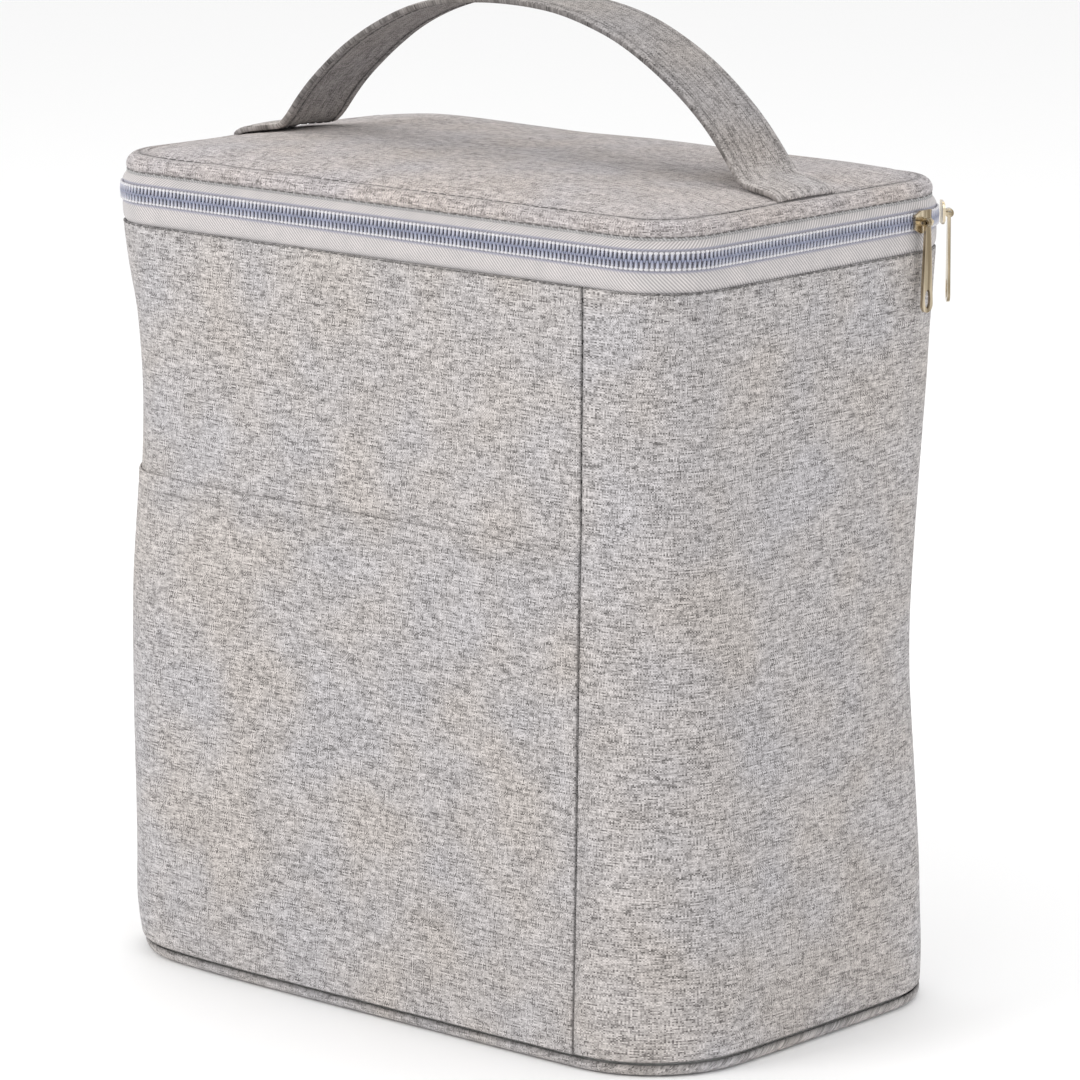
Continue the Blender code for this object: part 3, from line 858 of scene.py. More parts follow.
hem_path = wall_path(front_run[3:-3], pocket_high - HEM, 0.00075)
hem_row = stitches("hem_stitches", hem_path, 0.0024, 0.0009, 0.00012, grey_thread)
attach(hem_row, "bag")
for place, column in (
    ("front_right", ("face", SEAM_X, 0, -1)), ("left", ("flank", LEFT_SEAM_Y, -1, 0)),
    ("back_right", ("face", SEAM_X, 0, 1)), ("back_left", ("face", -SEAM_X, 0, 1)),
):
    seam_path = upright_path(column, panel_low, panel_high, -0.00055)
    seam_row = stitches("seam_" + place, seam_path, 0.0030, 0.0012, 0.00022, dark_thread)
    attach(seam_row, "bag")
rim_row = stitches("rim_stitches", wall_path(round_run + round_run[:1], panel_high - 0.0006, -0.00006),
                   0.0024, 0.0010, 0.00018, dark_thread)
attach(rim_row, "bag")


# ---- Zip tapes -----------------------------------------------------------------------------
# Silver grey herringbone tape, one half sewn to the bag and one to the lid. Each runs on
# behind its row of coil, where painted shade makes it darker and bluish. Painted shade also darkens
# its edges, and a narrow dark line runs beside the chain.


def rim_columns(end_turn):
    """Columns of the mouth from the left back corner round the front to the right back one."""
    columns = [("turn", 180 - end_turn + end_turn * step / 8, -1, 1) for step in range(9)]
    columns += [("side", 0.9 - 1.8 * step / 17, -1, 0) for step in range(18)]
    columns += [("turn", 180 + 7.5 * step, -1, -1) for step in range(13)]
    columns += [("span", -0.95 + 1.9 * step / 33, 0, -1) for step in range(34)]
    columns += [("turn", -90 + 7.5 * step, 1, -1) for step in range(13)]
    columns += [("side", -0.9 + 1.8 * step / 17, 1, 0) for step in range(18)]
    columns += [("turn", end_turn * step / 8, 1, 1) for step in range(9)]
    return columns


def rim_band(name, columns, profile, wrap=False, shades=None):
    """A band round the mouth from a profile of (inset, height) pairs, lowest first."""
    across = [0.0]
    for (inset, z), (next_inset, next_z) in zip(profile, profile[1:]):
        across.append(across[-1] + math.hypot(next_inset - inset, next_z - z))
    lengths = run_lengths(columns, profile[0][1])
    points = []
    for column in columns:
        points.append([wall_at(column, z, inset)[0] for inset, z in profile])
    uvs = [[(along, mark) for mark in across] for along in lengths]
    full = 0.0
    if wrap:
        closing = wall_at(columns[0], profile[0][1])[0] - wall_at(columns[-1], profile[0][1])[0]
        full = lengths[-1] + closing.length
    shade_lines = [shades for _ in columns] if shades else None
    return cloth_grid(name, points, uvs, shade_lines, wrap=full)


def twill_tape(name, colour, shade, chain_shade):
    """Herringbone tape: slanted ribs that change direction at the chain, with a thread grain, painted shade between
    the ribs and, where the seam_shade attribute says, painted shade behind the chain.
    """
    material = bpy.data.materials.new(name)
    material.use_nodes = True
    nodes = material.node_tree.nodes
    links = material.node_tree.links
    shader = nodes["Principled BSDF"]
    shader.label = "zip tape"

    rib_frame = nodes.new("NodeFrame")
    rib_frame.label = "slanted ribs"
    tape_place = nodes.new("ShaderNodeTexCoord")
    tape_place.label = "metres along the tape"
    split = nodes.new("ShaderNodeSeparateXYZ")
    split.label = "along and across"
    slant = nodes.new("ShaderNodeMath")
    slant.label = "slant of the ribs"
    rib_count = nodes.new("ShaderNodeMath")
    rib_count.label = "ribs per metre"
    rib_round = nodes.new("ShaderNodeMath")
    rib_round.label = "round ribs"
    rib_height = nodes.new("ShaderNodeMath")
    rib_height.label = "height of a rib"
    thread_count = nodes.new("ShaderNodeMath")
    thread_count.label = "threads across the tape"
    thread_round = nodes.new("ShaderNodeMath")
    thread_round.label = "round threads"
    thread_height = nodes.new("ShaderNodeMath")
    thread_height.label = "height of a thread"
    relief = nodes.new("ShaderNodeMath")
    relief.label = "ribs and threads"
    bump = nodes.new("ShaderNodeBump")
    bump.label = "relief of the tape"
    colour_frame = nodes.new("NodeFrame")
    colour_frame.label = "colour and wear"
    body_place = nodes.new("ShaderNodeTexCoord")
    body_place.label = "place on the bag"
    dye = nodes.new("ShaderNodeTexNoise")
    dye.label = "uneven dye"
    dye_colour = nodes.new("ShaderNodeValToRGB")
    dye_colour.label = "tape colours"
    rib_shaded_colour = nodes.new("ShaderNodeMix")
    rib_shaded_colour.label = "darker between ribs"
    painted_rib_shade = nodes.new("ShaderNodeMapRange")
    painted_rib_shade.label = "depth of the ribs"
    chain = nodes.new("ShaderNodeAttribute")
    chain.label = "nearness to the chain"
    painted_chain_shade = nodes.new("ShaderNodeMix")
    painted_chain_shade.label = "bluish behind the chain"
    rough = nodes.new("ShaderNodeMapRange")
    rough.label = "worn and glossy ribs"
    for row, (group, members) in enumerate((
        (rib_frame, (
            tape_place, split, slant, rib_count, rib_round, rib_height,
            thread_count, thread_round, thread_height, relief, bump,
        )),
        (colour_frame, (
            body_place, dye, dye_colour, painted_rib_shade, rib_shaded_colour, chain, painted_chain_shade, rough,
        )),
    )):
        for step, node in enumerate(members):
            node.parent = group
            node.location = (-2200 + 200 * step, 400 - 420 * row)

    slant.operation = "ADD"
    rib_count.operation = "MULTIPLY"
    rib_count.inputs[1].default_value = 820.0
    rib_round.operation = "PINGPONG"
    rib_round.inputs[1].default_value = 0.5
    rib_height.operation = "MULTIPLY"
    rib_height.inputs[1].default_value = 2.0
    thread_count.operation = "MULTIPLY"
    thread_count.inputs[1].default_value = 3300.0
    thread_round.operation = "PINGPONG"
    thread_round.inputs[1].default_value = 0.5
    thread_height.operation = "MULTIPLY"
    thread_height.inputs[1].default_value = 0.7
    relief.operation = "ADD"
    bump.inputs["Strength"].default_value = 0.55
    bump.inputs["Distance"].default_value = 0.0003
    dye.inputs["Scale"].default_value = 140.0
    dye.inputs["Detail"].default_value = 4.0
    dye_colour.color_ramp.elements[0].position = 0.3
    dye_colour.color_ramp.elements[0].color = (*shade, 1.0)
    dye_colour.color_ramp.elements[1].position = 0.7
    dye_colour.color_ramp.elements[1].color = (*colour, 1.0)
    # painted shade: the colour is darker between the ribs
    painted_rib_shade.inputs["To Min"].default_value = 0.42
    painted_rib_shade.inputs["To Max"].default_value = 1.0
    rib_shaded_colour.data_type = "RGBA"
    rib_shaded_colour.blend_type = "MULTIPLY"
    rib_shaded_colour.inputs["Factor"].default_value = 1.0
    # painted shade: the seam_shade attribute mixes in the chain_shade colour behind the coil and at the tape's edges,
    # and draws the narrow dark line beside the chain
    chain.attribute_name = "seam_shade"
    painted_chain_shade.data_type = "RGBA"
    painted_chain_shade.inputs["B"].default_value = (*chain_shade, 1.0)
    rough.inputs["To Min"].default_value = 0.5
    rough.inputs["To Max"].default_value = 0.75
    shader.inputs["Sheen Weight"].default_value = 0.25
    shader.inputs["Specular IOR Level"].default_value = 0.4

    links.new(tape_place.outputs["UV"], split.inputs["Vector"])
    links.new(split.outputs["X"], slant.inputs[0])
    links.new(split.outputs["Y"], slant.inputs[1])
    links.new(slant.outputs["Value"], rib_count.inputs[0])
    links.new(rib_count.outputs["Value"], rib_round.inputs[0])
    links.new(rib_round.outputs["Value"], rib_height.inputs[0])
    links.new(split.outputs["Y"], thread_count.inputs[0])
    links.new(thread_count.outputs["Value"], thread_round.inputs[0])
    links.new(thread_round.outputs["Value"], thread_height.inputs[0])
    links.new(rib_height.outputs["Value"], relief.inputs[0])
    links.new(thread_height.outputs["Value"], relief.inputs[1])
    links.new(relief.outputs["Value"], bump.inputs["Height"])
    links.new(bump.outputs["Normal"], shader.inputs["Normal"])
    links.new(body_place.outputs["Object"], dye.inputs["Vector"])
    links.new(dye.outputs["Fac"], dye_colour.inputs["Fac"])
    links.new(rib_height.outputs["Value"], painted_rib_shade.inputs["Value"])
    links.new(dye_colour.outputs["Color"], rib_shaded_colour.inputs["A"])
    links.new(painted_rib_shade.outputs["Result"], rib_shaded_colour.inputs["B"])
    links.new(chain.outputs["Fac"], painted_chain_shade.inputs["Factor"])
    links.new(rib_shaded_colour.outputs["Result"], painted_chain_shade.inputs["A"])
    links.new(painted_chain_shade.outputs["Result"], shader.inputs["Base Color"])
    links.new(dye.outputs["Fac"], rough.inputs["Value"])
    links.new(rough.outputs["Result"], shader.inputs["Roughness"])
    return material


zip_tape = twill_tape("zip_tape", (0.70, 0.655, 0.65), (0.60, 0.57, 0.57), (0.30, 0.30, 0.37))
zip_columns = rim_columns(68.0)
body_profile = [
    (0.0016, 0.2385), (0.0012, 0.2400), (0.0004, 0.2410), (0.0001, 0.2422), (0.0001, 0.2440),
    (0.0001, 0.2463), (0.0003, 0.2467), (0.0005, 0.2473), (0.0006, 0.2485), (0.0006, 0.2498),
]
# painted shade where the tape meets the cloth and behind the coil, and a narrow dark line beside the chain
body_tape = rim_band("body_tape", zip_columns, body_profile,
                     shades=[0.3, 0.2, 0.0, 0.0, 0.0, 0.0, 1.0, 0.4, 0.7, 0.8])
lid_profile = [
    (0.0006, 0.2502), (0.0006, 0.2515), (0.0005, 0.2527), (0.0003, 0.2533), (0.0002, 0.2537),
    (0.0008, 0.2548), (0.0016, 0.2558), (0.0025, 0.2567), (0.0033, 0.2574), (0.0038, 0.2578),
]
# painted shade behind the coil and under the lid's band, and a narrow dark line beside the chain
lid_tape = rim_band("lid_tape", zip_columns, lid_profile,
                    shades=[0.8, 0.7, 0.4, 1.0, 0.0, 0.0, 0.0, 0.0, 0.0, 0.3])
for band, body, node in ((body_tape, "bag", "body_zip_tape"), (lid_tape, "lid", "lid_zip_tape")):
    if body == "lid":
        for loop in band.data.uv_layers["cloth"].data:
            loop.uv.y = -loop.uv.y
    give_body(band, 0.0005)
    band.data.materials.append(zip_tape)
    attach(band, body)
    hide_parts(node)


# ---- Zip chain -----------------------------------------------------------------------------
# Nylon coil in two halves whose loops lie between each other, held to the tapes by a row of
# pale thread. Painted shade darkens the coil towards the middle, where the halves interlock.

COIL_PITCH = 0.00160
chain_path = [wall_at(column, chain_z) for column in rim_columns(60.0)]
chain_marks = path_marks(chain_path)

coil_nylon = bpy.data.materials.new("coil_nylon")
coil_nylon.use_nodes = True
nodes = coil_nylon.node_tree.nodes
links = coil_nylon.node_tree.links
shader = nodes["Principled BSDF"]
shader.label = "nylon coil"
colour_frame = nodes.new("NodeFrame")
colour_frame.label = "dye and depth"
place = nodes.new("ShaderNodeTexCoord")
place.label = "place on the bag"
split = nodes.new("ShaderNodeSeparateXYZ")
split.label = "height"
off_centre = nodes.new("ShaderNodeMath")
off_centre.label = "above or below the middle"
distance = nodes.new("ShaderNodeMath")
distance.label = "distance from the middle"
painted_middle_shade = nodes.new("ShaderNodeValToRGB")
painted_middle_shade.label = "bluish middle, pale ends"
dye = nodes.new("ShaderNodeTexNoise")
dye.label = "uneven dye"
dyed = nodes.new("ShaderNodeMix")
dyed.label = "dye over the depth"
wear_frame = nodes.new("NodeFrame")
wear_frame.label = "polish and scuffs"
scuff = nodes.new("ShaderNodeTexNoise")
scuff.label = "fine scuffs"
rough = nodes.new("ShaderNodeMapRange")
rough.label = "polish"
scuff_bump = nodes.new("ShaderNodeBump")
scuff_bump.label = "scuff relief"
for row, (group, members) in enumerate((
    (colour_frame, (place, split, off_centre, distance, painted_middle_shade, dye, dyed)),
    (wear_frame, (scuff, rough, scuff_bump)),
)):
    for step, node in enumerate(members):
        node.parent = group
        node.location = (-1700 + 220 * step, 300 - 360 * row)
off_centre.operation = "SUBTRACT"
off_centre.inputs[1].default_value = chain_z
distance.operation = "ABSOLUTE"
# painted shade: the coil's colour turns dark and bluish towards the middle, where the halves interlock, and pale
# towards its ends
painted_middle_shade.color_ramp.elements[0].position = 0.0004
painted_middle_shade.color_ramp.elements[0].color = (0.21, 0.22, 0.30, 1.0)
painted_middle_shade.color_ramp.elements[1].position = 0.0011
painted_middle_shade.color_ramp.elements[1].color = (0.74, 0.73, 0.77, 1.0)
dye.inputs["Scale"].default_value = 300.0
dyed.data_type = "RGBA"
dyed.blend_type = "OVERLAY"
dyed.inputs["Factor"].default_value = 0.35
scuff.inputs["Scale"].default_value = 2500.0
scuff.inputs["Detail"].default_value = 4.0
rough.inputs["To Min"].default_value = 0.25
rough.inputs["To Max"].default_value = 0.5
scuff_bump.inputs["Strength"].default_value = 0.2
scuff_bump.inputs["Distance"].default_value = 0.00005
shader.inputs["Specular IOR Level"].default_value = 0.5
shader.inputs["Subsurface Weight"].default_value = 0.05
links.new(place.outputs["Object"], split.inputs["Vector"])
links.new(split.outputs["Z"], off_centre.inputs[0])
links.new(off_centre.outputs["Value"], distance.inputs[0])
links.new(distance.outputs["Value"], painted_middle_shade.inputs["Fac"])
links.new(place.outputs["Object"], dye.inputs["Vector"])
links.new(painted_middle_shade.outputs["Color"], dyed.inputs["A"])
links.new(dye.outputs["Fac"], dyed.inputs["B"])
links.new(dyed.outputs["Result"], shader.inputs["Base Color"])
links.new(place.outputs["Object"], scuff.inputs["Vector"])
links.new(scuff.outputs["Fac"], rough.inputs["Value"])
links.new(rough.outputs["Result"], shader.inputs["Roughness"])
links.new(scuff.outputs["Fac"], scuff_bump.inputs["Height"])
links.new(scuff_bump.outputs["Normal"], shader.inputs["Normal"])

pale_thread = spun_thread("pale_thread", (0.78, 0.77, 0.79), (0.62, 0.61, 0.64))

for half, body, node, side in (("body", "bag", "body_zip_coil", -1), ("lid", "lid", "lid_zip_coil", 1)):
    count = int(chain_marks[-1] / COIL_PITCH) - 1
    loops = []
    ties = []
    for number in range(count):
        along = (number + 0.75 + side * 0.25) * COIL_PITCH
        spot, outward = on_path(chain_path, chain_marks, along)
        slant_spot, _ = on_path(chain_path, chain_marks, along + 0.00022 * side)
        up = Vector((0.0, 0.0, side))
        head = spot + outward * 0.00022 - up * 0.00038
        heel = slant_spot + outward * 0.00006 + up * 0.00275
        loops.append((head, heel, 0.00047, outward))
        lead = outward.cross(Vector((0.0, 0.0, 1.0)))
        tie = slant_spot + outward * 0.00018 + up * 0.00240
        ties.append((tie - lead * 0.00066, tie + lead * 0.00066, 0.00044, outward))
    coil = rods("coil_" + half, loops, coil_nylon)
    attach(coil, body)
    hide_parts(node)
    tie_row = rods("coil_ties_" + half, ties, pale_thread)
    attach(tie_row, body)


# ---- Lid cloth -----------------------------------------------------------------------------
# A padded top of melange cloth that domes a little, with the seam allowance pressed over and
# topstitched as a raised band all round its edge.

LID_EDGE_Z = 0.2615
LID_CROWN_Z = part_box("lid_top_panel")[1].z
lid_half_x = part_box("lid_top_panel")[1].x
lid_cloth = melange_cloth("lid_cloth", (0.66, 0.615, 0.595), (0.13, 0.118, 0.112), 0.13, 0.25)


def lid_height(scale):
    """Height of the dome where the lid's outline is shrunk by a scale."""
    return LID_EDGE_Z + (LID_CROWN_Z - LID_EDGE_Z) * (1 - scale**4)


def full_rim():
    """Columns all the way round the mouth."""
    return rim_columns(90.0) + [("span", 0.95 - 1.9 * step / 33, 0, 1) for step in range(34)]


band_profile = [
    (0.0036, 0.2562), (0.0026, 0.2561), (0.0018, 0.2566), (0.0014, 0.2576), (0.0014, 0.2588),
    (0.0020, 0.2600), (0.0031, 0.2610), (0.0046, 0.2617), (0.0058, 0.2614), (0.0069, 0.2619),
    (0.0082, 0.2622), (0.0088, 0.2617), (0.0089, 0.2609),
]
# painted shade beneath the band's lower edge, in its stitched groove and under the lid cover's edge
edge_band = rim_band("lid_edge_band", full_rim(), band_profile, wrap=True,
                     shades=[1.0, 1.0, 0.5, 0.0, 0.0, 0.0, 0.0, 0.1, 0.7, 0.1, 0.0, 0.5, 1.0])
for vertex in edge_band.data.vertices:
    ripple = noise.noise(vertex.co * 55.0) * 0.00035
    vertex.co.z += ripple * min(1.0, max(0.0, (vertex.co.z - 0.2585) / 0.002))
give_body(edge_band, 0.0006)
edge_band.data.materials.append(lid_cloth)
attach(edge_band, "lid")
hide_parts("lid_welt")


def domed_sheet(name, scales, height, ripple, thickness):
    """A domed sheet from shrinking copies of the lid's outline, closed in its middle."""
    rings = []
    uvs = []
    for column in full_rim():
        edge = wall_at(column, chain_z, LID_INSET)[0]
        line = []
        for scale in scales:
            x = edge.x * scale
            y = edge.y * scale
            line.append(Vector((x, y, height(scale) + ripple(x, y, scale))))
        rings.append(line)
        uvs.append([(spot.x, spot.y) for spot in line])
    piece = cloth_grid(name, rings, uvs, wrap=1e-9)
    close_middle(piece)
    give_body(piece, thickness)
    return piece


def lid_ripple(x, y, scale):
    """Uneven padding, and a tuck where the band presses the edge down."""
    broad = noise.noise(Vector((x * 22.0, y * 22.0, 3.0))) * 0.0006
    fine = noise.noise(Vector((x * 75.0, y * 75.0, 9.0))) * 0.00018
    return (broad + fine) * min(1.0, (1.0 - scale) / 0.10) - 0.0005 * swell(scale, 0.985, 0.03)


LID_SCALES = (0.982, 0.974, 0.966, 0.955, 0.94, 0.92, 0.88, 0.83, 0.76, 0.68, 0.58, 0.47, 0.35, 0.22, 0.10, 0.03)
lid_cover = domed_sheet("lid_cover", LID_SCALES, lid_height, lid_ripple, CLOTH)
lid_cover.data.materials.append(lid_cloth)
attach(lid_cover, "lid")
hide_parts("lid_top_panel")

topstitch_path = []
for column in full_rim() + full_rim()[:1]:
    topstitch_path.append((wall_at(column, chain_z, 0.0058)[0] + Vector((0, 0, 0.0116)), Vector((0, 0, 1))))
topstitch = stitches("lid_topstitch", topstitch_path, 0.0028, 0.0009, 0.00022, dark_thread)
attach(topstitch, "lid")
lid_seam_path = []
for column in full_rim() + full_rim()[:1]:
    spot, outward = wall_at(column, chain_z, 0.0017)
    lid_seam_path.append((spot + Vector((0, 0, 0.0067)), outward))
lid_seam_row = stitches("lid_seam_stitches", lid_seam_path, 0.0024, 0.0010, 0.00024, dark_thread)
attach(lid_seam_row, "lid")


# ---- Back hinge strip ----------------------------------------------------------------------
# The strip of cloth between the two ends of the zip.


def settle_shape(piece):
    """Fixes a piece's modifiers into its mesh."""
    settled = bpy.data.meshes.new_from_object(piece.evaluated_get(bpy.context.evaluated_depsgraph_get()))
    piece.modifiers.clear()
    piece.data = settled


hinge_columns = [("turn", 69.0 + 21.0 * step / 4, 1, 1) for step in range(5)]
hinge_columns += [("span", 0.95 - 1.9 * step / 33, 0, 1) for step in range(34)]
hinge_columns += [("turn", 90.0 + 21.0 * step / 4, -1, 1) for step in range(5)]
hinge_profile = [(0.0010, 0.2400), (0.0003, 0.2410)]
hinge_profile += [(0.0001, 0.2422 + 0.0142 * step / 10) for step in range(11)]
hinge_profile += [(0.0006, 0.2574)]
# painted shade along both edges of the strip
hinge_strip = rim_band("hinge_strip", hinge_columns, hinge_profile, shades=[0.8, 0.3] + [0.0] * 11 + [0.8])
give_body(hinge_strip, 0.0007)
hinge_strip.data.materials.append(panel_cloth)
settle_shape(hinge_strip)
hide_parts("back_hinge_strip")
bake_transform(hinge_strip)


# ---- Carrying handle -----------------------------------------------------------------------
# One strap of folded cloth, topstitched near both edges, with flat ends sewn down on the lid.
# Painted shade darkens its arch and its stitched grooves.

HANDLE_CENTRE_X = 0.0030
HANDLE_HALF_SPAN = 0.0935
HANDLE_RISE = 0.0445
HANDLE_POWER = 2.4
HANDLE_END_X = 0.1136
HANDLE_THICKNESS = 0.0022
END_THICKNESS = 0.0016
FOOT_SINK = 0.0022
strap_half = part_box("handle_strap")[1].y
foot_z = lid_height((HANDLE_HALF_SPAN - HANDLE_CENTRE_X - HANDLE_THICKNESS) / lid_half_x)
foot_z += END_THICKNESS + HANDLE_THICKNESS / 2

strap_spine = []
for side, steps in ((-1, range(8)), (1, reversed(range(8)))):
    foot_x = HANDLE_HALF_SPAN + side * HANDLE_CENTRE_X + 0.0022
    flat = []
    for step in steps:
        x = HANDLE_END_X + (foot_x - HANDLE_END_X) * step / 7
        thin = 0.0006 * step / 7 + 0.0006 - 0.0013 * (step == 0)
        flat.append(Vector((side * x, 0.0, lid_height(x / lid_half_x) + thin)))
    if side < 0:
        strap_spine += flat
        for step in range(1, 72):
            share = -1.0 + 2.0 * step / 72
            up = 1 - abs(share) ** HANDLE_POWER
            sink = FOOT_SINK * (max(0.0, abs(share) - 0.84) / 0.16) ** 2
            spot = Vector((HANDLE_CENTRE_X + HANDLE_HALF_SPAN * share, 0.0, foot_z + HANDLE_RISE * up - sink))
            tangent = Vector((1.0, 0.0, -math.copysign(1, share) * HANDLE_RISE * HANDLE_POWER
                              * abs(share) ** (HANDLE_POWER - 1) / HANDLE_HALF_SPAN))
            lift = Vector((-tangent.z, 0.0, tangent.x)).normalized()
            strap_spine.append(spot + lift * HANDLE_THICKNESS / 2)
    else:
        strap_spine += flat

strap_across = (-1.0, -0.965, -0.90, -0.83, -0.80, -0.77, -0.70, -0.45, -0.15,
                0.15, 0.45, 0.70, 0.77, 0.80, 0.83, 0.90, 0.965, 1.0)


def strap_spot(number, share):
    """A point on the strap's outer face and its outward direction."""
    before = strap_spine[max(number - 1, 0)]
    after = strap_spine[min(number + 1, len(strap_spine) - 1)]
    tangent = (after - before).normalized()
    outward = Vector((-tangent.z, 0.0, tangent.x))
    spot = strap_spine[number]
    press = 0.00030 * swell(abs(share), 0.80, 0.035) + 0.0004 * abs(share) ** 12
    crown = 0.0003 * (1 - share * share)
    wave = noise.noise(Vector((spot.x * 45.0, share * 1.3, spot.z * 45.0))) * 0.0004
    waist = 1.0 + 0.012 * noise.noise(Vector((spot.x * 30.0, 4.0, spot.z * 30.0)))
    place = Vector((spot.x, share * strap_half * waist, spot.z))
    return place + outward * (crown - press + wave), outward


strap_marks = [0.0]
for near, far in zip(strap_spine, strap_spine[1:]):
    strap_marks.append(strap_marks[-1] + (far - near).length)
strap_points = []
for number in range(len(strap_spine)):
    strap_points.append([strap_spot(number, share)[0] for share in strap_across])
strap_uvs = [[(mark, share * strap_half) for share in strap_across] for mark in strap_marks]
strap_shades = []
for spot in strap_spine:
    # painted shade: the arch is darkened above the feet, and the pressed stitch lines and folded edges are darkened
    # too
    painted_arch_shade = 0.34 * min(1.0, max(0.0, (spot.z - foot_z) / 0.006))
    strap_shades.append([painted_arch_shade + 0.6 * swell(abs(share), 0.80, 0.03) + 0.4 * (abs(share) > 0.98)
                         for share in strap_across])
handle_cloth = melange_cloth("handle_cloth", (0.62, 0.585, 0.56), (0.12, 0.110, 0.103), 0.13, 0.25)
handle_strap = cloth_grid("handle_cover", strap_points, strap_uvs, strap_shades)
handle_strap.data.flip_normals()
give_body(handle_strap, 0.0019)
handle_strap.data.materials.append(handle_cloth)
settle_shape(handle_strap)
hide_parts("handle_strap", "handle_root_left", "handle_root_right",
            "handle_end_left", "handle_end_right")
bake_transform(handle_strap)

for place, share in (("front", -0.80), ("back", 0.80)):
    edge_path = []
    for number in range(1, len(strap_spine) - 1):
        spot, outward = strap_spot(number, share)
        edge_path.append((spot + outward * 0.00012, outward))
    edge_row = stitches("handle_stitches_" + place, edge_path, 0.0027, 0.0008, 0.00022, dark_thread)
    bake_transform(edge_row)
for place, number in (("left", 6), ("right", len(strap_spine) - 7)):
    foot_path = []
    for step in range(17):
        spot, outward = strap_spot(number, -0.8 + 1.6 * step / 16)
        foot_path.append((spot + outward * 0.00012, outward))
    foot_row = stitches("handle_foot_" + place, foot_path, 0.0022, 0.0008, 0.00018, grey_thread)
    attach(foot_row, "lid")


# ---- Insulation ----------------------------------------------------------------------------
# Four sheets of white closed-cell foam behind the panels, and the two flat ones in the base
# and the lid.

insulation = bpy.data.materials.new("insulation_foam")
insulation.use_nodes = True
nodes = insulation.node_tree.nodes
links = insulation.node_tree.links
shader = nodes["Principled BSDF"]
shader.label = "closed-cell foam"
pore_frame = nodes.new("NodeFrame")
pore_frame.label = "pores"
place = nodes.new("ShaderNodeTexCoord")
place.label = "place on the bag"
pores = nodes.new("ShaderNodeTexVoronoi")
pores.label = "foam cells"
pore_bump = nodes.new("ShaderNodeBump")
pore_bump.label = "relief of the cells"
tone_frame = nodes.new("NodeFrame")
tone_frame.label = "tone and handling"
mottle = nodes.new("ShaderNodeTexNoise")
mottle.label = "mottled skin"
tone = nodes.new("ShaderNodeValToRGB")
tone.label = "white to grey"
rough = nodes.new("ShaderNodeMapRange")
rough.label = "rubbed skin"
for row, (group, members) in enumerate(((pore_frame, (place, pores, pore_bump)), (tone_frame, (mottle, tone, rough)))):
    for step, node in enumerate(members):
        node.parent = group
        node.location = (-1000 + 220 * step, 300 - 340 * row)
pores.inputs["Scale"].default_value = 1100.0
pore_bump.inputs["Strength"].default_value = 0.4
pore_bump.inputs["Distance"].default_value = 0.0002
mottle.inputs["Scale"].default_value = 60.0
mottle.inputs["Detail"].default_value = 5.0
tone.color_ramp.elements[0].color = (0.72, 0.72, 0.70, 1.0)
tone.color_ramp.elements[1].color = (0.90, 0.90, 0.88, 1.0)
rough.inputs["To Min"].default_value = 0.8
rough.inputs["To Max"].default_value = 0.95
links.new(place.outputs["Object"], pores.inputs["Vector"])
links.new(pores.outputs["Distance"], pore_bump.inputs["Height"])
links.new(pore_bump.outputs["Normal"], shader.inputs["Normal"])
links.new(place.outputs["Object"], mottle.inputs["Vector"])
links.new(mottle.outputs["Fac"], tone.inputs["Fac"])
links.new(tone.outputs["Color"], shader.inputs["Base Color"])
links.new(mottle.outputs["Fac"], rough.inputs["Value"])
links.new(rough.outputs["Result"], shader.inputs["Roughness"])

liner_columns = right_run[6:-6] + back_run[::2] + left_run[6:-4] + front_run[5:-4]
FOAM_INSET = 0.0024
FOAM_THICKNESS = 0.0028
foam_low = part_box("front_foam")[0].z
foam_heights = spaced(foam_low, panel_high, 30)
for name, run in (("front", front_run), ("back", back_run), ("right", right_run), ("left", left_run)):
    points = []
    for column in run:
        line = []
        for z in foam_heights:
            spot, outward = wall_at(column, z, FOAM_INSET)
            line.append(spot + outward * soft_dents(wall_at(column, z)[0]) * min(1.0, (panel_high - z) / 0.01))
        points.append(line)
    uvs = [[(along, z) for z in foam_heights] for along in run_lengths(run, 0.12)]
    sheet = cloth_grid(name + "_foam_sheet", points, uvs)
    give_body(sheet, FOAM_THICKNESS, levels=0)
    sheet.data.materials.append(insulation)
    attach(sheet, "bag")
    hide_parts(name + "_foam")
base_foam_rings = []
base_foam_uvs = []
for column in liner_columns:
    line = []
    for inset, z, share in (
        (0.0040, 0.0016, 0.4), (0.0040, 0.0016, 0.8), (0.0040, 0.0016, 0.98), (0.0036, 0.0022, 1.0),
        (0.0034, 0.0040, 1.0), (0.0036, 0.0054, 1.0), (0.0040, 0.0060, 0.98), (0.0040, 0.0060, 0.8),
        (0.0040, 0.0060, 0.4), (0.0040, 0.0016, 0.4),
    ):
        spot = wall_at(column, z, inset)[0]
        line.append(Vector((spot.x * share, spot.y * share, z)))
    base_foam_rings.append(line)
    base_foam_uvs.append([(spot.x, spot.y) for spot in line])
base_foam_sheet = cloth_grid("base_foam_sheet", base_foam_rings, base_foam_uvs, wrap=1e-9)
work = bmesh.new()
work.from_mesh(base_foam_sheet.data)
bmesh.ops.remove_doubles(work, verts=work.verts, dist=0.00001)
bmesh.ops.recalc_face_normals(work, faces=work.faces)
work.to_mesh(base_foam_sheet.data)
work.free()
base_foam_sheet.data.materials.append(insulation)
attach(base_foam_sheet, "bag")
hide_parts("base_foam")
for slot in bpy.data.objects["lid_foam"].material_slots:
    slot.material = insulation


# ---- Liner ---------------------------------------------------------------------------------
# Crinkled silver foil film: one cup in the bag, one sheet under the lid, with a grey binding
# round each edge.

